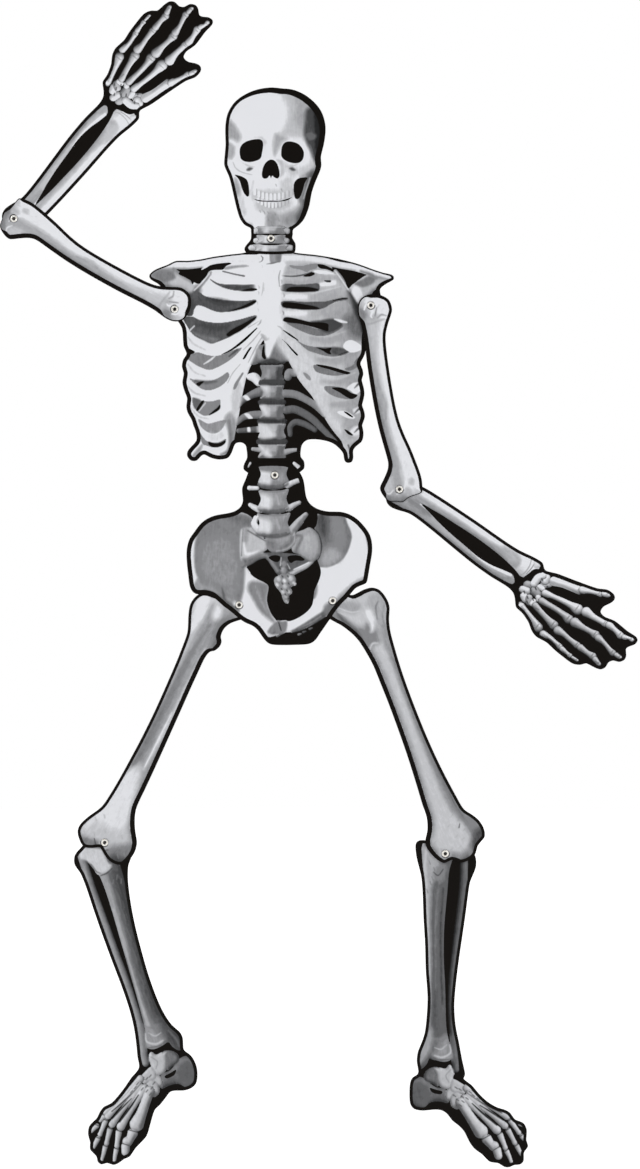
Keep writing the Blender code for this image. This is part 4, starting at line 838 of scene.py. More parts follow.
def paint_forearm(ink):
    ink.bone([(-14, 6, 15), (-16, -10, 13), (-18.5, -28, 9), (-20, -60, 8), (-22.2, -100, 7.8),
        (-22, -140, 8.2), (-20, -165, 10), (-20, -182, 13), (-21, -190, 11.6)], 0.9, 0.22)
    ink.bone([(2, 4, 9), (0, -14, 9), (-0.6, -40, 8), (2.4, -62, 5.8), (5, -90, 5), (7, -118, 4.4),
        (7, -146, 4.6), (4.6, -164, 5.6), (3, -174, 6), (4.4, -180, 3.4)], 0.68, 0.2, gap=None)
    ink.cut([(-8.4, -32), (-6.6, -42), (-5, -50), (-2.6, -62), (0.4, -84), (2.2, -106), (4.2, -128),
        (2.6, -148), (-0.6, -162), (-3, -176), (0, -184), (-4, -190), (-9, -178), (-12, -162), (-14, -140),
        (-14.6, -110), (-13.4, -80), (-12.4, -58), (-10.6, -42)])
    # the shaded side of the radius, and the bright lower edge of the ulna
    ink.tint([(-16, -20), (-9, -20), (-10, -60), (-13, -100), (-12, -140), (-8, -168), (-14, -176),
        (-24, -172), (-23, -150), (-20, -120), (-20, -80), (-18, -50)], 0.64, 6.0)
    ink.tint_line([(-11, -40, 0.4), (-14, -90, 1.0), (-15, -130, 1.0), (-12, -160, 0.8)], 0.46, 5.6)
    ink.tint_line([(-25, -30, 0.6), (-28, -80, 1.0), (-29, -140, 1.0)], 0.97, 4.2)
    ink.tint([(-27, -146), (-20, -150), (-16, -168), (-24, -174), (-29, -164)], 0.72, 10.0)
    ink.tint_line([(8, -30, 0.8), (8, -60, 1.0), (9, -100, 0.8), (10, -150, 0.8)], 0.44, 5.6)
    ink.tint_line([(3.6, -118, 0.6), (5, -134, 1.0), (3.6, -150, 1.6), (0.6, -164, 2.2), (-1, -174, 2.0)],
        0.9, 1.2)
    ink.tint([(-8, -16), (0, -16), (0, -44), (-4, -50), (-8, -40)], 0.56, 8.0)
    ink.tint_line([(-8, -30, 0.8), (-7.4, -38, 0.8)], 0.85, 1.0)
    ink.tint([(2, -172), (9, -170), (9, -180), (4, -184), (1, -178)], 0.6, 3.0)
    # the wrist's end of the radius
    ink.tint_line([(-33, -184, 0.5), (-24, -187, 0.7), (-14, -187, 0.7), (-7, -184, 0.5)], 0.66, 1.0)
    ink.tint_line([(-30, -190.4, 0.5), (-22, -190.6, 0.6), (-14, -189.6, 0.5)], 0.55, 1.0)
    ink.plate([(-36, -186), (-28, -190), (-26, -195), (-31, -198.6), (-36, -194)], 0.88, 0.3, 4)
    ink.cut([(-28, -200), (-24, -194), (-16, -191.6), (-6, -189), (0, -194), (-14, -201), (-24, -206)])
    paint_hand(ink)
    ink.within_card(4.0)


def paint_hand(ink):
    """The wrist's small bones, the palm's five long ones and the fingers."""
    for stations, tone in (([(-17, -216, 5.6), (-20, -219, 5.4)], 0.84),
                           ([(-24, -213, 5.2), (-20, -214, 5)], 0.88),
                           ([(-10, -213, 3.6), (-10, -217, 3.4)], 0.9), ([(-3, -199, 5.6), (-5, -203, 5)],
                           0.62), ([(5, -197, 4.6), (3.4, -203, 4.6)], 0.82),
                           ([(-2, -211, 6.2), (-1, -216, 5.0)], 0.6), ([(11, -203, 4.6), (13, -207, 4.6)],
                           0.86), ([(9, -210, 4.4), (13, -213, 4.6)], 0.7),
                           ([(-24, -208, 4.2), (-18, -204.6, 4.8), (-9, -204.4, 4.6)], 0.92),
                           ([(2, -219, 3.6), (4, -221, 3)], 0.84), ([(9, -217, 3.2), (13, -217, 3.2)],
                           0.88)):
        ink.bone(stations, tone, 0.46, gap=0.35)
    ink.specks(((-1, -205), (6, -200), (9, -207), (-6, -209), (14, -210), (-20, -209), (-16, -220),
        (7, -214)), (1.4, -2.2), (0.9, 0.6), 0.24, 1.4)
    fingers = (
        # thumb
        (0.86, [(-26, -223, 5.8), (-30, -234, 5.6), (-33, -246, 5.6), (-35.5, -256, 5.2)],
         [(-38, -259, 4.8), (-42, -267, 3.8), (-46, -276, 4.0), (-47.4, -280, 4.4)],
         [(-50, -284, 3.8), (-52, -289, 3.2)]),
        # first finger
        (0.8,
         [(-7.4, -223, 4.6), (-10, -234, 3.8), (-12.4, -246, 4.2), (-14, -258, 5.2), (-14.6, -268, 7.0)],
         [(-18.2, -279, 6.4), (-18.2, -289, 4.8), (-19.4, -301, 4.2), (-20.4, -307, 4.6)],
         [(-21.6, -312, 4.8), (-20.6, -322, 3.8), (-19, -331, 4.6)],
         [(-20, -336, 3.2), (-22.6, -342, 2.3), (-23, -346, 2.8)]),
        # middle finger
        (0.68, [(3, -225, 4.4), (2.2, -234, 4.6), (1, -246, 4.2), (1, -258, 5.0), (2, -266, 6.0)],
         [(1, -275, 6.4), (0.4, -286, 4.6), (-1, -297, 4.2), (-1.6, -305, 5.4)],
         [(-0.4, -310.4, 4.8), (0.6, -320, 3.4), (3.6, -331, 3.8), (4.4, -336, 4.2)],
         [(4, -341, 3.0), (4, -347, 2.6)]),
        # ring finger
        (0.68, [(12.4, -222, 4.2), (15, -232, 4.2), (17.4, -244, 4.6), (19, -255, 6.0)],
         [(21.6, -263.4, 5.6), (21, -271, 4.4), (22.2, -283, 3.8), (22.6, -294, 4.4)],
         [(22.6, -299, 4.4), (23, -309, 3.8), (22.4, -318, 4.6)],
         [(24, -322.6, 3.6), (26, -330, 2.6)]),
        # little finger
        (0.72, [(23, -208, 4.2), (25.6, -218, 4.2), (29, -230, 4.8), (33, -240.6, 6.2)],
         [(36, -251, 4.8), (34.4, -260, 3.4), (35.4, -270, 3.2), (36.6, -277, 3.6)],
         [(37.4, -281, 3.4), (38, -289, 2.6), (38.4, -294, 3.0)],
         [(38.4, -298, 1.8), (38, -305, 1.7)]),
    )
    for tone, *bones in fingers:
        for ends in bones:
            last = len(ends) - 1
            stations = [(u, v, r if k in (0, last) else r * 0.84) for k, (u, v, r) in enumerate(ends)]
            ink.bone(stations, tone, 0.6, gap=0.4)
            (u, v, r), (u2, v2, r2) = stations[0], stations[-1]
            ink.tint_line([(u - r * 0.5, v, r * 0.2), (u2 - r2 * 0.5, v2, r2 * 0.2)],
                min(tone + 0.16, 0.97), 1.4)
            ink.tint_line([(u2 - r2 * 0.6, v2 + 1.6, 0.4), (u2 + r2 * 0.7, v2 + 1.8, 0.6)], tone - 0.26,
                2.0)
            ink.tint_line([(u + r * 0.5, v - 2.0, 0.5), (u + r * 0.4, v - 6.0, 0.5)], tone - 0.3, 2.4)
    ink.tint([(-24, -220), (-19, -222), (-23, -236), (-28, -256), (-31, -258), (-29, -240)], 0.66, 4.0)
    ink.bone([(22, -206, 3.4), (27, -205, 2.8)], 0.92, 0.3)


def paint_right_thigh(ink):
    ink.whole_card((3.8, 6.2), 0.78, 0.28, 9.0)
    # a grey band down the shaft, with paler streaks in it
    ink.tint([(-30, -16), (-14, -12), (6, -12), (4, -60), (0, -100), (2, -180), (6, -262), (0, -250),
        (-5, -240), (-12, -236), (-22, -244), (-23, -190), (-27, -130), (-30, -80), (-31, -40)], 0.6, 12.0)
    ink.tint_line([(-22, -80, 1.0), (-20, -130, 3.0), (-18, -180, 4.0), (-16, -222, 4.0), (-18, -250, 1.0)],
        0.44, 11.2)
    ink.tint_line([(-20, -40, 1.0), (-22, -70, 2.0), (-24, -110, 1.0)], 0.5, 7.0)
    ink.tint_line([(-10, -70, 0.5), (-7, -120, 1.6), (-4, -180, 2.0), (-3, -240, 1.0)], 0.84, 7.0)
    ink.tint_line([(-7, -160, 0.4), (-5, -200, 1.0), (-3, -236, 0.6)], 0.94, 2.5)
    ink.tint_line([(8, -80, 0.6), (9, -140, 1.6), (14, -200, 2.0), (18, -260, 1.6), (24, -296, 0.8)], 0.56,
        7.0)
    ink.tint_line([(-38, -60, 0.5), (-34, -110, 0.8), (-30, -170, 0.8), (-27, -230, 0.4)], 0.93, 2.5)
    ink.tint([(-46, -16), (-38, -8), (-32, -30), (-36, -60), (-44, -40)], 0.93, 10.0)
    ink.tint([(-24, -14), (-16, -16), (-13, -26), (-18, -32), (-24, -26)], 0.9, 10.0)
    ink.tint([(-10, -30), (4, -20), (8, -60), (-2, -68), (-8, -50)], 0.42, 14.0)
    ink.tint_line([(4, -66, 0.8), (8, -76, 1.4), (6, -84, 0.8)], 0.3, 5.6)
    # the flare above the knee
    ink.tint([(-18, -250), (-10, -246), (-2, -256), (8, -290), (10, -320), (-20, -324), (-32, -320),
        (-24, -290)], 0.88, 14.0)
    ink.tint_line([(14, -262, 1.0), (22, -290, 2.0), (36, -314, 1.6)], 0.54, 7.0)
    ink.tint_line([(20, -284, 0.3), (32, -306, 0.5), (40, -322, 0.3)], 0.8, 1.6)
    # the knee's two knuckles
    ink.tint([(-40, -356), (-26, -350), (-12, -348), (-4, -352), (-14, -370), (-36, -366)], 0.46, 12.0)
    ink.tint([(8, -346), (20, -336), (34, -330), (44, -336), (36, -370), (10, -366), (6, -354)], 0.46, 14.0)
    ink.tint([(16, -354), (26, -350), (36, -350), (32, -368), (14, -366)], 0.26, 10.0)
    ink.tint_line([(-30, -362, 1.0), (-20, -366, 1.6), (-10, -358, 1.0)], 0.26, 5.6)
    ink.tint([(-5, -340), (3, -338), (7, -346), (2, -352), (-5, -350)], 0.74, 6.0)
    ink.tint_line([(-14, -346, 0.4), (-6, -354, 0.6), (2, -356, 0.5), (8, -350, 0.4)], 0.2, 2.0)
    ink.specks(((-26, -322), (-18, -314), (-8, -330), (14, -326), (24, -330), (18, -338), (28, -344),
        (34, -338), (12, -340), (-18, -340), (-30, -344), (22, -350)), (3, -3), (0.4, 0.5), 0.6, 2.5, 0.7)
    ink.within_card(3.4)


def paint_left_thigh(ink):
    ink.whole_card((3.9, 6.2), 0.78, 0.26, 9.0)
    # the head and neck, running in towards the hip
    ink.tint([(-60, -16), (-48, -10), (-38, -20), (-40, -40), (-36, -62), (-48, -60), (-58, -44),
        (-62, -30)], 0.66, 12.0)
    ink.tint([(-34, -40), (-22, -46), (-12, -40), (-2, -22), (8, -14), (-2, -44), (-12, -62), (-20, -72),
        (-34, -70)], 0.5, 12.0)
    ink.tint_line([(2, -12, 0.8), (-2, -28, 2.0), (-10, -46, 2.0), (-14, -62, 1.0)], 0.34, 7.0)
    ink.tint([(-30, -22), (-18, -26), (-8, -18), (4, -6), (-10, -6), (-26, -12)], 0.62, 12.0)
    ink.tint_line([(-26, -26, 0.3), (-14, -22, 0.6), (0, -8, 0.4)], 0.86, 2.0)
    ink.tint_line([(-22, -32, 0.3), (-12, -28, 0.6), (0, -16, 0.4)], 0.8, 2.0)
    ink.tint([(-38, -30), (-32, -32), (-30, -50), (-28, -56), (-33, -54), (-38, -44)], 0.94, 8.0)
    ink.tint_line([(-52, -24, 0.5), (-46, -30, 0.7), (-42, -44, 0.5)], 0.46, 2.5)
    ink.tint_line([(-58, -30, 0.5), (-50, -42, 0.7), (-46, -56, 0.4)], 0.54, 4.2)
    ink.tint_line([(-40, -8, 0.4), (-30, -7, 0.6), (-20, -6, 0.4)], 0.94, 2.5)
    # the shaded edge of the shaft, and a faint one on the right
    ink.tint([(-50, -60), (-38, -66), (-35, -100), (-31, -160), (-28, -220), (-27, -290), (-34, -320),
        (-46, -324), (-48, -200)], 0.58, 7.0)
    ink.tint_line([(-42, -100, 0.6), (-38, -160, 1.8), (-36, -220, 2.4), (-36, -290, 2.4),
        (-42, -326, 1.6)], 0.4, 8.4)
    ink.tint_line([(-12, -80, 0.4), (-10, -160, 1.2), (-4, -240, 1.4), (4, -300, 0.8)], 0.72, 7.0, 0.7)
    ink.tint_line([(-30, -72, 0.4), (-24, -70, 0.8), (-16, -76, 0.4)], 0.9, 4.2)
    # the knee
    ink.tint([(-62, -322), (-46, -316), (-38, -332), (-42, -352), (-56, -356), (-62, -336)], 0.5, 12.0)
    ink.tint([(-58, -338), (-46, -338), (-38, -346), (-32, -354), (-30, -368), (-48, -366), (-58, -352)],
        0.28, 12.0)
    ink.tint([(-34, -352), (-22, -356), (-10, -352), (-4, -348), (4, -352), (12, -346), (16, -354),
        (0, -372), (-24, -374)], 0.54, 10.0)
    ink.tint([(-26, -362), (-12, -364), (2, -362), (-6, -372), (-24, -372)], 0.34, 8.0)
    ink.tint([(-5, -343), (4, -341), (8, -349), (2, -355), (-6, -352)], 0.72, 6.0)
    ink.specks(((-34, -316), (-28, -308), (-20, -318), (-36, -330), (4, -330), (-30, -340), (-22, -348),
        (-40, -338), (-12, -346), (-24, -334)), (3.6, -1.6), (0.4, 0.5), 0.62, 2.4, 0.7)
    ink.tint_line([(-32, -322, 0.5), (-29, -326, 0.7)], 0.3, 1.6)
    ink.within_card(3.4)


def paint_right_shin(ink):
    ink.bone([(-6, 2, 22), (-6, -14, 21), (-4, -30, 15.6), (-2.4, -50, 13.6), (-3, -80, 11.4),
        (-3.4, -110, 10.6), (-3.6, -150, 10.0), (-3.4, -190, 9.8), (-2, -220, 11.4), (0, -240, 15)], 0.5,
        0.3)
    ink.bone([(-33, -6, 5), (-32, -30, 5), (-31, -56, 5.2), (-26.6, -100, 4.4), (-23.6, -140, 4.4),
        (-21, -172, 4.6), (-19.6, -200, 4.6), (-18.6, -230, 4.6), (-21, -252, 4.8), (-24, -270, 5.2),
        (-24.6, -282, 4.4)], 0.6, 0.4, gap=0.6)
    paint_ankle(ink)
    ink.tint([(-20, -30), (-10, -38), (-6, -60), (-7, -90), (-8, -140), (-14, -140), (-16, -90),
        (-20, -60)], 0.68, 8.0)
    ink.plate([(-34, -2), (-30, 2), (-16, -2), (-4, -8), (-2, -24), (2, -30), (-2, -37), (-14, -38),
        (-20, -36), (-24, -24), (-30, -16), (-36, -12)], 0.84, 0.16, 4, gap=None)
    ink.tint_line([(-16, -39, 0.4), (-8, -38, 0.7), (0, -34, 0.6)], 0.3, 2.0)
    ink.tint_line([(-24, -22, 0.5), (-20, -32, 0.7), (-16, -36, 0.5)], 0.5, 2.5)
    ink.tint_line([(-12, -84, 1.6), (-11.4, -120, 1.4), (-10.8, -160, 1.4), (-10.4, -200, 1.8),
        (-9, -236, 2.4)], 0.74, 4.2)
    ink.tint([(-4, -44), (6, -40), (8, -90), (6, -150), (4, -230), (-3, -200), (-3, -120)], 0.34, 14.0)
    ink.tint_line([(4, -50, 0.6), (5, -110, 1.0), (5, -180, 1.0), (6, -226, 0.6)], 0.22, 4.2)
    for v in (-60, -84, -110, -136, -168, -196):
        ink.tint_line([(-3, v, 0.3), (-1, v - 14, 0.6), (-2, v - 22, 0.3)], 0.5, 2.5, 0.7)
    ink.specks(((8, -20), (12, -28), (4, -44), (-2, -48), (8, -50)), (-2, -5), (0.4, 0.5), 0.6, 2.4, 0.7)
    paint_foot(ink)
    ink.within_card(4.2)


def paint_left_shin(ink):
    ink.bone([(8, 4, 22), (8, -14, 20), (10, -30, 15.4), (10, -60, 13.8), (9, -100, 11), (7.2, -140, 10.4),
        (5, -180, 10.6), (4, -210, 11.2), (4, -226, 13), (4, -244, 17)], 0.42, 0.2)
    ink.bone([(-24, -6, 5), (-24, -40, 5), (-20.6, -80, 4.8), (-17.6, -110, 4.4), (-14, -150, 4.4),
        (-13.6, -190, 4.6), (-16, -224, 4.2), (-18, -246, 4.4), (-20, -262, 4.6), (-21.6, -272, 4.0)], 0.42,
        0.44, gap=0.6)
    ink.move(2.0, 5.0)
    paint_ankle(ink)
    ink.move(-2.0, -5.0)
    ink.cut([(-12, -6), (-6, -20), (-4, -50), (-1.6, -90), (-2, -130), (-4.4, -160), (-6.6, -176),
        (-9.6, -150), (-13, -110), (-15.4, -70), (-18, -30)])
    ink.tint([(6, -12), (14, 2), (24, 14), (34, 14), (30, -20), (28, -60), (22, -130), (18, -200),
        (12, -220), (12, -180), (13, -120), (15, -80), (14, -40), (6, -28)], 0.72, 10.0)
    ink.tint_line([(24, 6, 1.0), (25, -20, 2.0), (22, -60, 1.6), (18, -120, 1.2), (14, -190, 1.0)], 0.82,
        5.6)
    ink.tint([(-2, -14), (8, -16), (14, -28), (4, -36), (-2, -28)], 0.58, 10.0)
    ink.tint_line([(2, -20, 0.4), (8, -28, 0.6), (14, -24, 0.4)], 0.34, 2.0)
    ink.tint_line([(6, -34, 0.5), (9, -60, 1.4), (9, -110, 1.2), (7, -170, 0.8)], 0.56, 7.0)
    ink.tint_line([(1, -44, 0.5), (3, -90, 1.0), (1, -140, 1.0), (-2, -190, 0.8)], 0.28, 5.6)
    ink.tint_line([(12, -70, 0.3), (12, -110, 0.5), (10, -150, 0.3)], 0.4, 2.0)
    ink.specks(((6, -34), (12, -40), (18, -36), (22, -46), (10, -50), (16, -30), (20, -10), (14, -18)),
        (-1.6, -4), (0.4, 0.5), 0.5, 2.0, 0.7)
    ink.tint([(8, -224), (16, -222), (26, -250), (26, -266), (18, -262), (10, -246)], 0.7, 10.0)
    ink.move(0.8, 4.0)
    paint_foot(ink)
    ink.move(-0.8, -4.0)
    ink.within_card(4.0)


def paint_ankle(ink):
    """The flared foot of the shin bone."""
    ink.plate([(-14, -242), (-19, -256), (-18.6, -263), (-10, -267.6), (2, -266), (10, -264), (14, -272),
        (22, -278), (30, -270), (30, -255), (20, -242), (2, -236)], 0.5, 0.2, 5, gap=None)
    ink.tint([(-14, -234), (-4, -238), (0, -252), (8, -260), (0, -267), (-14, -268), (-20, -262),
        (-17, -250)], 0.66, 12.0)
    ink.tint_line([(-15, -246, 0.5), (-16, -256, 1.0), (-6, -262, 1.2), (4, -260, 0.6)], 0.84, 2.5)
    ink.tint_line([(-11, -246, 0.4), (-4, -252, 0.8), (4, -250, 0.4)], 0.8, 2.5)
    ink.tint_line([(-12, -236, 0.4), (-3, -242, 0.6), (4, -240, 0.4)], 0.56, 4.2)
    ink.tint([(8, -232), (14, -232), (26, -250), (30, -264), (22, -280), (12, -268), (9, -252)], 0.32, 12.0)
    ink.tint_line([(14, -250, 0.5), (20, -262, 1.0), (22, -272, 0.6)], 0.5, 4.2)
    ink.tint_line([(-16, -264, 0.4), (-2, -265.4, 0.6), (8, -261, 0.5)], 0.46, 1.6)


def paint_foot(ink):
    # heel and ankle bones
    ink.plate([(10, -294), (20, -287), (30, -288), (36, -298), (36, -314), (30, -324), (18, -326),
        (8, -318), (-4, -317), (-14, -318), (-16, -306), (-6, -300), (2, -299)], 0.48, 0.3, 8)
    ink.tint([(16, -300), (26, -296), (32, -304), (30, -316), (20, -318), (14, -310)], 0.42, 16.0)
    ink.tint_line([(20, -291, 0.4), (28, -292, 0.8), (33, -300, 0.5)], 0.54, 4.2)
    ink.plate([(0, -274), (12, -276), (18, -284), (16, -291), (6, -295), (0, -298), (-4, -290)], 0.5, 0.34,
        5, gap=None)
    ink.plate([(-21, -280), (-19, -274), (-14, -270), (-9, -275), (-2, -274), (6, -275), (3, -282),
        (1, -290), (-3, -298), (-12, -301), (-20, -297), (-19, -286)], 0.79, 0.3, 5, gap=None)
    ink.tint_line([(3, -277, 0.4), (1, -286, 0.6), (0, -296, 0.5)], 0.5, 2.5)
    ink.tint_line([(-16, -276, 0.4), (-10, -284, 0.6), (-14, -292, 0.4)], 0.64, 2.5)
    ink.cut([(-6, -304), (2, -302), (10, -300), (6, -306), (-4, -307.6)])
    ink.plate([(-22, -296), (-14, -300), (-10, -306), (-12, -314), (-22, -312), (-26, -304)], 0.78, 0.36, 4,
        gap=0.2)
    ink.plate([(-18, -288), (-30, -293), (-36, -298), (-34, -306), (-26, -306), (-16, -302)], 0.79, 0.3, 4,
        gap=None)
    ink.plate([(-30, -306), (-22, -304), (-16, -312), (-18, -322), (-26, -326), (-34, -318)], 0.76, 0.36, 4,
        gap=None)
    rays = (
        # little toe
        (0.8, [(-36, -299, 4.6), (-52, -309, 3.8), (-68, -318, 3.2), (-84, -325.4, 3.8), (-89, -328, 4.2)],
         [(-93, -332, 3.2), (-99, -336, 2.4)],
         [(-105, -341.6, 3.0), (-110, -344.4, 2.4), (-114, -347.4, 1.6)]),
        (0.8, [(-40, -305, 4.2), (-58, -316.6, 3.4), (-74, -325, 3.2), (-88, -333.4, 4.2)],
         [(-93, -338.6, 3.4), (-101, -349, 2.6), (-104, -353, 3.0)],
         [(-108, -357.6, 3.2), (-116, -366, 2.6)]),
        (0.77, [(-38, -309.6, 4.4), (-55, -321.6, 3.6), (-70, -332, 3.4), (-86, -345, 4.4)],
         [(-90.4, -350.6, 3.6), (-97, -362, 2.8), (-99, -366, 3.2)],
         [(-102, -370, 3.2), (-107, -379, 2.4), (-112.4, -387.6, 1.8)]),
        (0.8, [(-34, -312, 5.0), (-50, -326, 4.2), (-64, -339, 4.2), (-76, -350.6, 5.4)],
         [(-80.4, -356.6, 4.0), (-85.6, -368, 2.9), (-87.4, -372.6, 3.2)],
         [(-89.4, -377, 3.2), (-93, -384, 2.5), (-95.4, -390, 2.1)]),
        # big toe
        (0.8, [(-29, -317, 6.0), (-37, -328, 6.0), (-47, -342, 6.8), (-56, -353, 9.0)],
         [(-64, -362.6, 6.6), (-69, -368.6, 5.2), (-73, -371, 6.4)], [(-77, -376, 5.4), (-79, -383, 5.0)]),
    )
    for tone, long_bone, *toes in rays:
        ink.bone(long_bone, tone, 0.36, gap=0.25)
        for stations in toes:
            ink.bone(stations, tone, 0.36, gap=None)
            (u, v, r) = stations[0]
            ink.tint_line([(u + r * 1.1, v - 1.2, 0.3), (u - r * 0.5, v + r * 0.8, 0.4)], 0.16, 1.6)
    # narrow dark gaps between the long bones, where they part
    for line in ([(-52, -314, 0.3), (-66, -321.6, 0.6), (-82, -329, 0.4)],
                 [(-54, -320, 0.3), (-68, -328, 0.8), (-84, -338, 0.6)],
                 [(-44, -318, 0.4), (-58, -330, 1.2), (-76, -344, 1.0)]):
        ink.tint_line(line, 0.1, 1.6)
    # the shaded underside of the big toe's long bone
    ink.tint_line([(-25, -322, 3.0), (-33, -333, 3.0), (-42, -347, 3.2), (-50, -358, 3.4)], 0.4, 5.6)
    ink.tint_line([(-62, -366, 1.0), (-68, -373, 1.4), (-75, -384, 1.4)], 0.44, 4.2)
    ink.specks(((-40, -303), (-30, -309), (-24, -313), (-44, -307), (-27, -300), (-20, -308), (-31, -315),
        (-36, -311), (-22, -298), (-28, -320), (-50, -311)), (-3, -2), (0.5, 0.4), 0.34, 2.0)
    ink.tint_line([(-34, -303, 0.4), (-48, -312, 0.6), (-64, -322, 0.4)], 0.5, 1.6)


PAINTERS = {
    "skull": paint_skull, "torso": paint_torso, "pelvis": paint_pelvis,
    "right_upper_arm": paint_upper_arm, "left_upper_arm": paint_upper_arm,
    "right_forearm": paint_forearm, "left_forearm": paint_forearm,
    "right_thigh": paint_right_thigh, "left_thigh": paint_left_thigh,
    "right_shin": paint_right_shin, "left_shin": paint_left_shin,
}


def paint(card, points, loops, shift, deeper):
    """The print of a card at points in its plane. shift moves the art, not the outline."""
    ink = Print(points, loops[0])
    ink.move(*shift)
    PAINTERS[card](ink)
    ink.move(-shift[0], -shift[1])
    # middle tones darker by the card's deeper number, lighter below 0; on the shins this is painted shade
    ink.tone *= 1 - deeper * (1 - ink.tone)
    # painted shadow of each eyelet's flange round its hole
    for hole in loops[1:]:
        ink.painted_flange_shadow(hole.mean(0), FLANGE_RADIUS + 0.3)
    return ink


# ================================================================ build

EYELETS = ("neck", "waist", "right_shoulder", "left_shoulder", "right_elbow", "left_elbow",
           "right_hip", "left_hip", "right_knee", "left_knee")

# Each card: the eyelet at its own (0, 0), or None for the world's; its turn in degrees from hanging
# straight down, counter-clockwise as the viewer sees it; whether it is drawn as in a mirror; how far
# its art is shifted; the spacing in mm of the points that hold its print; and how much darker its
# middle tones are made, or lighter below 0. On the shins that darkening is painted shade, for the
# light that falls off towards the feet.
CARDS = {
    "torso": (None, 0.0, False, (0.0, 0.0), 1.0, 0.08),
    "skull": ("neck", 0.0, False, (0.0, 0.0), 0.9, 0.08),
    "pelvis": ("waist", 0.0, False, (0.0, 0.0), 1.1, 0.08),
    "right_upper_arm": ("right_shoulder", -119.4, False, (0.0, 0.0), 1.1, -0.12),
    "left_upper_arm": ("left_shoulder", 9.7, True, (2.2, -4.0), 1.1, -0.05),
    "right_forearm": ("right_elbow", 139.2, False, (0.0, 0.0), 0.8, -0.18),
    "left_forearm": ("left_elbow", 54.6, True, (8.0, -2.6), 0.8, 0.15),
    "right_thigh": ("right_hip", -29.5, False, (0.0, 0.0), 1.3, 0.0),
    "left_thigh": ("left_hip", 24.0, True, (0.0, 0.0), 1.3, 0.0),
    "right_shin": ("right_knee", 15.5, False, (0.0, 0.0), 0.9, 0.28),
    "left_shin": ("left_knee", -1.7, True, (0.0, 0.0), 0.9, 0.34),
}

OUTLINE_STEPS = 3  # short lines in place of each straight line of a CAD outline
HOLE_SIDES = 40
ROW_STEP = 0.866  # how far apart the rows of a grid of equal triangles are, in their sides
EDGE_GAP = 0.55  # how far the grid keeps from an outline, in the same
ON_FRONT = 1e-5  # how far from a card's front, in metres, a point still is on it

# The eyelet's radii and the thickness of its sheet, in mm.
FLANGE_RADIUS, BARREL_RADIUS, BORE_RADIUS = 4.5, 2.5, 2.2
LIP = 0.3
RIVET_SIDES = 48
RIVET_SPLITS = 6
DOME_STEPS, RIM_STEPS = 7, 6
BORE_RINGS = 3  # rings of the rivet's profile that line its bore


class Plane:
    """The flat plane that a card is drawn in, and the way from the shared frame to it and back."""

    def __init__(self, centre, turn, mirrored):
        angle = math.radians(turn)
        self.across = np.array((math.cos(angle), math.sin(angle)))
        self.up = np.array((-math.sin(angle), math.cos(angle)))
        self.mirrored = mirrored
        if mirrored:
            self.across = -self.across
        self.centre = np.array(centre)

    def to_card(self, xz):
        """(u, v) in mm of points given as X and Z in metres."""
        gone = (xz - self.centre) / MM
        return np.stack([gone @ self.across, gone @ self.up], 1)

    def to_world(self, uv):
        """X and Z in metres of points given as (u, v) in mm."""
        return self.centre + MM * (uv[:, :1] * self.across + uv[:, 1:] * self.up)


def middle(node):
    """The middle of a CAD node's box."""
    low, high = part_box(node)
    return (low + high) / 2


def front_loops(node):
    """The closed loops round the front face of a CAD card, as X and Z in metres, longest first."""
    mesh = frame["nodes"][node].data
    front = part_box(node)[0].y
    keys = [(round(v.co.x, 6), round(v.co.z, 6)) if abs(v.co.y - front) < ON_FRONT else None
            for v in mesh.vertices]
    following = {}
    for face in mesh.polygons:
        corners = [keys[i] for i in face.vertices]
        if None in corners or len(set(corners)) < 3:
            continue
        for a, b in zip(corners, corners[1:] + corners[:1]):
            if a in following.get(b, ()):  # an edge between two faces is not on a loop
                following[b].remove(a)
            else:
                following.setdefault(a, set()).add(b)
    following = {a: ends for a, ends in following.items() if ends}
    loops = []
    while following:
        start = min(following)
        loop = [start]
        while True:
            ends = following[loop[-1]]
            after = ends.pop()
            if not ends:
                del following[loop[-1]]
            if after == start:
                break
            loop.append(after)
        loops.append(np.array(loop))
    return sorted(loops, key=lambda loop: -np.ptp(loop, 0).sum())


def round_hole(loop):
    """A smooth ring in place of a many-sided hole."""
    centre = loop.mean(0)
    radius = np.hypot(*(loop - centre).T).mean()
    angles = np.linspace(0, 2 * np.pi, HOLE_SIDES, endpoint=False)
    return centre + radius * np.stack([np.cos(angles), np.sin(angles)], 1)


def grid_inside(loops, spacing):
    """Points in rows, each row shifted by half a step, that keep clear of the loops."""
    low, high = loops[0].min(0), loops[0].max(0)
    rows = np.arange(low[1], high[1], spacing * ROW_STEP)
    columns = np.arange(low[0], high[0], spacing)
    u, v = np.meshgrid(columns, rows)
    u = u + np.where(np.arange(len(rows)) % 2, spacing / 2, 0.0)[:, None]
    points = np.stack([u.ravel(), v.ravel()], 1)
    kept = np.ones(len(points), bool)
    for k, loop in enumerate(loops):
        box = (points > loop.min(0) - spacing).all(1) & (points < loop.max(0) + spacing).all(1)
        if k == 0:
            box[:] = True
        near = points[box]
        far = to_segments(near, loop, np.roll(loop, -1, 0))[0]
        wanted = inside_polygon(near, loop) if k == 0 else ~inside_polygon(near, loop)
        kept[box] &= wanted & (far > spacing * EDGE_GAP)
    return points[kept]


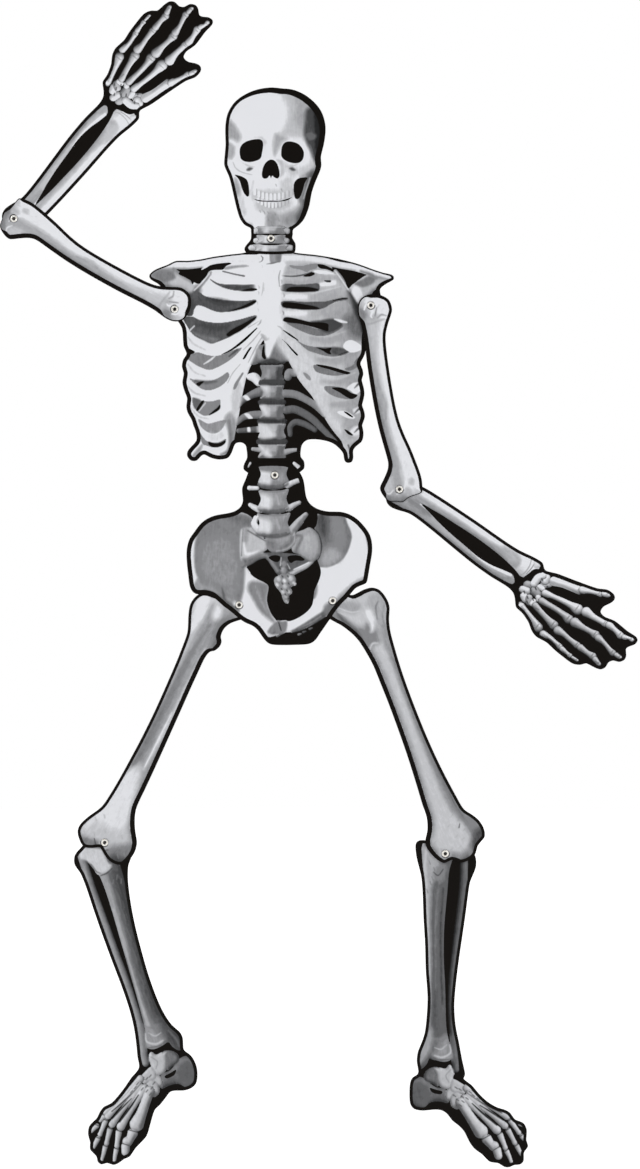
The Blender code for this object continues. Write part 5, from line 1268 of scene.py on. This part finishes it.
def triangulated(loops, extra):
    """Triangles inside the first loop and outside the others, using every point given once."""
    points = np.vstack(list(loops) + [extra])
    edges, first = [], 0
    for loop in loops:
        edges += [(first + i, first + (i + 1) % len(loop)) for i in range(len(loop))]
        first += len(loop)
    made = delaunay_2d_cdt([Vector(p) for p in points], edges, [], 2, 1e-7)
    if len(made[0]) != len(points):
        raise ValueError("an outline crosses itself")
    order = [ids[0] for ids in made[3]]
    triangles = np.array([[order[i] for i in face] for face in made[2]])
    first = len(loops[0])
    for hole in loops[1:]:  # a triangle with all its corners on a hole's ring lies in the hole
        in_hole = (triangles >= first) & (triangles < first + len(hole))
        triangles = triangles[~in_hole.all(1)]
        first += len(hole)
    return points, triangles


def turned_alike(points, triangles, way):
    """The triangles, all counter-clockwise if way is 1, or clockwise if it is -1."""
    a, b, c = (points[triangles[:, k]] for k in range(3))
    turned = way * np.cross(b - a, c - a) < 0
    triangles[turned] = triangles[turned][:, ::-1]
    return triangles


def card_mesh(name, loops, plane, front_y, back_y, spacing, shift, deeper):
    """A closed sheet: a finely divided printed front, a plain back, and the cut edge between."""
    points, triangles = triangulated(loops, grid_inside(loops, spacing))
    back_points, back_triangles = triangulated(loops, np.zeros((0, 2)))
    rim = len(back_points)
    count = len(points)
    ink = paint(name, points, loops, shift, deeper)

    def placed(uv, y):
        xz = plane.to_world(uv)
        return np.stack([xz[:, 0], np.full(len(xz), y), xz[:, 1]], 1)

    triangles = turned_alike(points, triangles, 1)
    back_triangles = turned_alike(back_points, back_triangles, -1)
    walls, first = [], 0
    for k, loop in enumerate(loops):
        area = np.cross(loop, np.roll(loop, -1, 0)).sum()
        forward = (area > 0) == (k == 0)
        for i in range(len(loop)):
            p, q = first + i, first + (i + 1) % len(loop)
            if not forward:
                p, q = q, p
            walls.append((p, count + p, count + q, q))
        first += len(loop)
    faces = triangles.tolist() + (back_triangles + count).tolist() + walls
    if plane.mirrored:
        faces = [face[::-1] for face in faces]

    mesh = bpy.data.meshes.new(name)
    corners = np.vstack([placed(points, front_y), placed(back_points, back_y)])
    mesh.from_pydata(corners.tolist(), [], faces)
    kinds = [0] * len(triangles) + [1] * len(back_triangles) + [2] * len(walls)
    mesh.polygons.foreach_set("material_index", kinds)
    for label, values in (("bone_depth", ink.edge), ("bone_tone", ink.tone)):
        layer = mesh.attributes.new(label, "FLOAT", "POINT")
        layer.data.foreach_set("value", np.append(values, np.zeros(rim)).astype(np.float32))
    flat = np.vstack([points, back_points])
    uv = mesh.uv_layers.new(name="card_plane")
    ids = np.zeros(len(mesh.loops), int)
    mesh.loops.foreach_get("vertex_index", ids)
    uv.data.foreach_set("uv", flat[ids].ravel())
    mesh.validate()
    mesh.update()
    return mesh


def body_with(node):
    for body, members in frame["record"]["behaviour"]["bodies"].items():
        if node in members:
            return body
    raise ValueError(node)


def add_piece(name, mesh, materials, node):
    piece = bpy.data.objects.new(name, mesh)
    bpy.context.scene.collection.objects.link(piece)
    for material in materials:
        mesh.materials.append(material)
    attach(piece, body_with(node))
    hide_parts(node)
    return piece


def add_card(name, materials):
    eyelet, turn, mirrored, shift, spacing, deeper = CARDS[name]
    node = name + "_card"
    if eyelet:
        at = middle(eyelet + "_eyelet")
        centre = (at.x, at.z)
    else:
        centre = (0.0, 0.0)
    plane = Plane(centre, turn, mirrored)
    low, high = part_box(node)
    outline, *holes = front_loops(node)
    outline = np.clip(closed_curve(outline, OUTLINE_STEPS), (low.x, low.z), (high.x, high.z))
    loops = [plane.to_card(outline)] + [plane.to_card(round_hole(hole)) for hole in holes]
    mesh = card_mesh(name, loops, plane, low.y, high.y, spacing, shift, deeper)
    add_piece(name + "_printed_card", mesh, materials, node)


# ---------------------------------------------------------------- eyelets

def add_eyelet(joint, material):
    """A hollow rivet: a domed flange, a barrel closed at the back, and a split, rolled rim.

    It is one closed profile of (radius, y), turned round the joint's axis and capped at both ends.
    """
    node = joint + "_eyelet"
    low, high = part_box(node)
    centre = (low + high) / 2
    flange = (high.x - low.x) / 2
    bore, barrel = (flange * radius / FLANGE_RADIUS for radius in (BORE_RADIUS, BARREL_RADIUS))
    lip = LIP * MM
    front, rear = low.y, high.y
    profile = [(bore * 0.5, rear - lip * 1.7), (bore * 0.96, rear - lip * 1.9), (bore, rear - lip * 2.6)]
    for t in np.linspace(0, 1, DOME_STEPS):  # the bore's rounded mouth and the dome of the flange
        dome = math.sin(math.pi * (0.12 + 0.88 * t)) ** 0.6
        profile.append((bore + (flange - bore) * t, front + lip * (1 - dome)))
    profile += [(flange - 0.05 * MM, front + lip), (barrel, front + lip), (barrel, rear - lip)]
    split = range(len(profile), len(profile) + RIM_STEPS // 2)  # the rolled rim's outer rings
    rim = flange * 0.94
    for t in np.linspace(0, 1, RIM_STEPS):  # the rolled rim
        roll = math.sin(math.pi * t) ** 0.6
        profile.append((rim - (rim - bore) * t, rear - lip * (1 - roll)))
    bm = bmesh.new()
    rings = []
    for number, (radius, y) in enumerate(profile):
        ring = []
        for i in range(RIVET_SIDES):
            angle = 2 * math.pi * i / RIVET_SIDES
            notch = 0.0
            if number in split:  # short splits where the rim was rolled over
                notch = 0.1 * max(0.0, math.cos(RIVET_SPLITS * angle)) ** 8
            r = radius * (1 - notch)
            ring.append(bm.verts.new((centre.x + r * math.cos(angle), y, centre.z + r * math.sin(angle))))
        rings.append(ring)
    for ring, after in zip(rings[:-1], rings[1:]):
        for i in range(RIVET_SIDES):
            j = (i + 1) % RIVET_SIDES
            bm.faces.new((ring[i], ring[j], after[j], after[i])).smooth = True
    for ring, y in ((rings[0], rear - lip * 1.7), (rings[-1], rear - lip)):  # the barrel's end
        pole = bm.verts.new((centre.x, y, centre.z))
        for i in range(RIVET_SIDES):
            bm.faces.new((ring[i], ring[(i + 1) % RIVET_SIDES], pole))
    bmesh.ops.recalc_face_normals(bm, faces=bm.faces[:])
    mesh = bpy.data.meshes.new(joint)
    bm.to_mesh(mesh)
    bm.free()
    # painted shade: dark inside the bore and on the pole that closes it, half dark at its mouth, bright
    # elsewhere
    shade_per_ring = [1.0] * BORE_RINGS + [0.5] + [0.0] * (len(profile) - BORE_RINGS - 1)
    bore_shade = np.append(np.repeat(shade_per_ring, RIVET_SIDES), (1.0, 0.0)).astype(np.float32)
    mesh.attributes.new("inside", "FLOAT", "POINT").data.foreach_set("value", bore_shade)
    add_piece(joint + "_rivet", mesh, [material], node)


# ---------------------------------------------------------------- materials

class Shader:
    """A Principled material and short ways to add nodes to it."""

    def __init__(self, name):
        self.material = bpy.data.materials.new(name)
        self.material.use_nodes = True
        self.tree = self.material.node_tree
        self.skin = self.tree.nodes["Principled BSDF"]

    def node(self, kind, **settings):
        made = self.tree.nodes.new(kind)
        for key, value in settings.items():
            setattr(made, key, value)
        return made

    def link(self, source, target):
        self.tree.links.new(source, target)

    def plug(self, value, socket):
        if isinstance(value, (int, float)):
            socket.default_value = value
        else:
            self.link(value, socket)

    def math(self, operation, a, b=0.0, c=0.0):
        made = self.node("ShaderNodeMath", operation=operation)
        for value, socket in zip((a, b, c), made.inputs):
            self.plug(value, socket)
        return made.outputs[0]

    def mapped(self, source, scale, rotation=0.0):
        made = self.node("ShaderNodeMapping")
        made.inputs["Scale"].default_value = scale
        made.inputs["Rotation"].default_value = (0.0, 0.0, rotation)
        self.link(source, made.inputs["Vector"])
        return made.outputs[0]

    def noise(self, source, scale, detail=3.0, roughness=0.55, distortion=0.0):
        made = self.node("ShaderNodeTexNoise")
        self.link(source, made.inputs["Vector"])
        for key, value in (("Scale", scale), ("Detail", detail), ("Roughness", roughness),
                           ("Distortion", distortion)):
            made.inputs[key].default_value = value
        return made.outputs[0]

    def ramp(self, value, stops):
        made = self.node("ShaderNodeValToRGB")
        points = made.color_ramp.elements
        while len(points) < len(stops):
            points.new(0.5)
        for point, (at, colour) in zip(points, stops):
            point.position = at
            point.color = (*colour, 1.0)
        self.link(value, made.inputs["Fac"])
        return made.outputs["Color"]

    def ranged(self, value, low, high, to_low=0.0, to_high=1.0):
        made = self.node("ShaderNodeMapRange")
        self.link(value, made.inputs["Value"])
        for key, number in (("From Min", low), ("From Max", high), ("To Min", to_low), ("To Max", to_high)):
            made.inputs[key].default_value = number
        return made.outputs[0]

    def blend(self, share, a, b, how="MIX"):
        made = self.node("ShaderNodeMix", data_type="RGBA", blend_type=how)
        self.plug(share, made.inputs[0])
        for value, socket in ((a, made.inputs[6]), (b, made.inputs[7])):
            if isinstance(value, tuple):
                socket.default_value = (*value, 1.0)
            else:
                self.link(value, socket)
        return made.outputs[2]

    def bump(self, height, distance, strength):
        made = self.node("ShaderNodeBump")
        made.inputs["Distance"].default_value = distance
        made.inputs["Strength"].default_value = strength
        self.link(height, made.inputs["Height"])
        self.link(made.outputs[0], self.skin.inputs["Normal"])


def grey(level):
    """A printed grey, given by how light it looks, as a linear colour a little cooler than neutral."""
    linear = ((level + 0.055) / 1.055) ** 2.4
    return (linear * 0.965, linear * 0.975, linear * 1.015)


def printed_ink():
    """Satin ink on coated card: black, and bones in a few stepped greys with brushy borders."""
    s = Shader("printed_bone_ink")
    plane = s.node("ShaderNodeUVMap", uv_map="card_plane").outputs[0]
    depth = s.node("ShaderNodeAttribute", attribute_name="bone_depth").outputs["Fac"]
    tone = s.node("ShaderNodeAttribute", attribute_name="bone_tone").outputs["Fac"]
    mottle = s.noise(plane, 0.16, 4.0, 0.6, 0.4)
    strokes = s.noise(s.mapped(plane, (1.0, 0.22, 1.0)), 0.34, 3.0, 0.6, 0.6)
    grain = s.noise(plane, 1.7, 2.0, 0.6)
    wobble = s.math("MULTIPLY_ADD", s.noise(plane, 0.5, 2.0), 0.5, -0.25)
    on_bone = s.ranged(s.math("ADD", depth, wobble), -0.12, 0.12)
    for pattern, amount in ((mottle, 0.12), (strokes, 0.14), (grain, 0.06)):
        tone = s.math("ADD", tone, s.math("MULTIPLY_ADD", pattern, amount, -amount / 2))
    half = 0.055  # half of the tone that a step from one grey to the next takes
    stops = [(TONES[0][0], grey(TONES[0][1]))]
    for (_, before), (at, level) in zip(TONES[:-1], TONES[1:]):
        stops += [(at - half, grey(before)), (at + half, grey(level))]
    bone = s.ramp(tone, stops)
    fleck = s.ranged(grain, 0.3, 0.7, 0.955, 1.03)
    bone = s.blend(1.0, bone, s.ramp(fleck, [(0.0, (0, 0, 0)), (1.0, (1, 1, 1))]), "MULTIPLY")
    black = s.ramp(grain, [(0.3, (0.0034, 0.0024, 0.0017)), (0.7, (0.0054, 0.0042, 0.0032))])
    s.link(s.blend(on_bone, black, bone), s.skin.inputs["Base Color"])
    fine = s.noise(plane, 3.2, 3.0, 0.6)
    s.link(s.ranged(fine, 0.3, 0.7, 0.34, 0.48), s.skin.inputs["Roughness"])
    s.skin.inputs["Specular IOR Level"].default_value = 0.06
    s.bump(fine, 0.05 * MM, 0.25)
    return s.material


def bare_board():
    """The unprinted back: pale grey recycled board with darker fibres and flecks."""
    s = Shader("plain_board_back")
    plane = s.node("ShaderNodeUVMap", uv_map="card_plane").outputs[0]
    fibres = s.noise(s.mapped(plane, (1.0, 0.16, 1.0), 0.5), 1.1, 4.0, 0.7, 0.8)
    clouds = s.noise(plane, 0.05, 4.0, 0.6)
    flecks = s.noise(plane, 1.9, 2.0, 0.5)
    base = s.ramp(clouds, [(0.3, (0.50, 0.485, 0.455)), (0.7, (0.60, 0.585, 0.55))])
    base = s.blend(s.ranged(fibres, 0.35, 0.75), base, (0.66, 0.65, 0.62))
    base = s.blend(s.ranged(flecks, 0.68, 0.74), base, (0.24, 0.22, 0.20))
    s.link(base, s.skin.inputs["Base Color"])
    s.link(s.ranged(fibres, 0.3, 0.7, 0.78, 0.92), s.skin.inputs["Roughness"])
    s.skin.inputs["Specular IOR Level"].default_value = 0.25
    s.bump(s.math("ADD", fibres, s.math("MULTIPLY", flecks, 0.5)), 0.12 * MM, 0.4)
    return s.material


def cut_edge():
    """The die-cut edge: grey board between the thin black ink and the bare back, torn a little."""
    s = Shader("die_cut_board_edge")
    place = s.node("ShaderNodeTexCoord").outputs["Object"]
    layers = s.noise(s.mapped(place, (1.0, 14.0, 1.0)), 900.0, 3.0, 0.6)
    wear = s.noise(place, 240.0, 3.0)
    base = s.ramp(layers, [(0.35, (0.10, 0.095, 0.09)), (0.65, (0.24, 0.23, 0.215))])
    base = s.blend(s.ranged(wear, 0.42, 0.6), base, (0.03, 0.028, 0.026))
    s.link(base, s.skin.inputs["Base Color"])
    s.link(s.ranged(layers, 0.3, 0.7, 0.75, 0.95), s.skin.inputs["Roughness"])
    s.bump(layers, 0.1 * MM, 0.4)
    return s.material


def eyelet_metal():
    """Pale plated brass, rubbed and lightly scratched by the rivet press; its bore painted dark and dull as
    shade.
    """
    s = Shader("plated_eyelet_metal")
    place = s.node("ShaderNodeTexCoord").outputs["Object"]
    rubs = s.noise(place, 700.0, 4.0, 0.6, 0.5)
    scratches = s.noise(s.mapped(place, (1.0, 1.0, 9.0), 0.6), 900.0, 3.0, 0.7)
    base = s.ramp(rubs, [(0.3, (0.66, 0.61, 0.51)), (0.58, (0.92, 0.91, 0.88))])
    # painted shade: the 'inside' attribute turns the bore dark and not metallic
    inside = s.node("ShaderNodeAttribute", attribute_name="inside").outputs["Fac"]
    s.link(s.blend(inside, base, (0.020, 0.015, 0.011)), s.skin.inputs["Base Color"])
    s.link(s.ranged(inside, 0.0, 1.0, 1.0, 0.0), s.skin.inputs["Metallic"])
    s.link(s.ranged(scratches, 0.3, 0.7, 0.34, 0.54), s.skin.inputs["Roughness"])
    s.bump(scratches, 0.02 * MM, 0.3)
    return s.material


# ---------------------------------------------------------------- stage, lights and camera

# In metres; the floor is a little below the feet, which hang free.
FLOOR_RADIUS, FLOOR_SIDES, FLOOR_GAP = 7.0, 64, 0.03
CAMERA_DISTANCE, CAMERA_LENS_MM = 4.092, 100.0

# Each softbox: where it stands, its width and height in metres, and its power in watts.
SOFTBOXES = {
    "key_left": ((-2.4, -3.0, 1.5), (1.6, 2.2), 68.0),
    "key_right": ((2.4, -3.0, 1.0), (1.6, 2.2), 55.0),
    "fill_behind_left": ((-2.4, 2.0, 1.8), (1.2, 1.6), 18.0),
    "fill_behind_right": ((2.6, 1.6, 1.2), (1.2, 1.6), 15.0),
}


def stage_surface():
    """A pale matt floor that glows a little, and more so further out."""
    s = Shader("pale_studio_floor")
    place = s.node("ShaderNodeTexCoord").outputs["Object"]
    base = s.ramp(s.noise(place, 3.0), [(0.3, (0.90, 0.90, 0.90)), (0.7, (0.93, 0.93, 0.93))])
    s.link(base, s.skin.inputs["Base Color"])
    s.skin.inputs["Roughness"].default_value = 0.9
    s.skin.inputs["Specular IOR Level"].default_value = 0.1
    s.skin.inputs["Emission Color"].default_value = (1.0, 1.0, 1.0, 1.0)
    away = s.node("ShaderNodeVectorMath", operation="LENGTH")
    s.link(place, away.inputs[0])
    s.link(s.ranged(away.outputs["Value"], 0.5, 3.0, 0.66, 1.1), s.skin.inputs["Emission Strength"])
    return s.material


def add_stage(low):
    """A round pale floor under the feet, which brightens outwards until it meets the white room."""
    angles = [2 * math.pi * i / FLOOR_SIDES for i in range(FLOOR_SIDES)]
    corners = [(FLOOR_RADIUS * math.cos(angle), FLOOR_RADIUS * math.sin(angle), 0.0) for angle in angles]
    mesh = bpy.data.meshes.new("studio_floor")
    mesh.from_pydata(corners, [], [range(FLOOR_SIDES)])
    mesh.materials.append(stage_surface())
    floor = bpy.data.objects.new("studio_floor", mesh)
    floor.location.z = low.z - FLOOR_GAP
    bpy.context.scene.collection.objects.link(floor)


def add_softbox(name, target, place, size, power):
    light = bpy.data.lights.new(name, "AREA")
    light.shape = "RECTANGLE"
    light.size, light.size_y = size
    light.energy = power
    lamp = bpy.data.objects.new(name, light)
    bpy.context.scene.collection.objects.link(lamp)
    lamp.location = place
    lamp.rotation_euler = (target - Vector(place)).to_track_quat("-Z", "Y").to_euler()


def add_world():
    """Dim light from all round, which the camera itself sees as a white room."""
    world = bpy.data.worlds.new("studio_air")
    bpy.context.scene.world = world
    world.use_nodes = True
    tree = world.node_tree
    dim = tree.nodes["Background"]
    dim.inputs["Color"].default_value = (1.0, 1.0, 1.0, 1.0)
    dim.inputs["Strength"].default_value = 0.12
    seen = tree.nodes.new("ShaderNodeBackground")
    seen.inputs["Color"].default_value = (1.0, 1.0, 1.0, 1.0)
    path = tree.nodes.new("ShaderNodeLightPath")
    mix = tree.nodes.new("ShaderNodeMixShader")
    tree.links.new(path.outputs["Is Camera Ray"], mix.inputs["Fac"])
    tree.links.new(dim.outputs[0], mix.inputs[1])
    tree.links.new(seen.outputs[0], mix.inputs[2])
    tree.links.new(mix.outputs[0], tree.nodes["World Output"].inputs["Surface"])


def add_camera(low, high):
    """Straight on, from about four metres, with the whole figure filling the picture's height."""
    data = bpy.data.cameras.new("front_camera")
    data.lens = CAMERA_LENS_MM
    camera = bpy.data.objects.new("front_camera", data)
    bpy.context.scene.collection.objects.link(camera)
    centre = (low + high) / 2
    camera.location = (centre.x + 0.0015, -CAMERA_DISTANCE, centre.z + 0.0002)
    camera.rotation_euler = (math.pi / 2, 0.0, 0.0)
    data.clip_end = 100.0
    bpy.context.scene.camera = camera


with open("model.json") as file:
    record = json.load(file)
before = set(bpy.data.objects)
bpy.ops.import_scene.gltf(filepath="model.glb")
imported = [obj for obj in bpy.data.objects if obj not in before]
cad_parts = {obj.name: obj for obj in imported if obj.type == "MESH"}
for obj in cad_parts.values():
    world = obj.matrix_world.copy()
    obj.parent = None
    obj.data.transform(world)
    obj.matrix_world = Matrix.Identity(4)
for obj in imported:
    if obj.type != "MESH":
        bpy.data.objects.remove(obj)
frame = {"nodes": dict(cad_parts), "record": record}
cad_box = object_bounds()
card_materials = [printed_ink(), bare_board(), cut_edge()]
for card_name in CARDS:
    add_card(card_name, card_materials)
metal = eyelet_metal()
for joint_name in EYELETS:
    add_eyelet(joint_name, metal)

low, high = cad_box
add_stage(low)
add_world()
for softbox, (place, size, power) in SOFTBOXES.items():
    add_softbox(softbox, (low + high) / 2, place, size, power)
add_camera(low, high)
bpy.context.scene.view_settings.view_transform = "Standard"
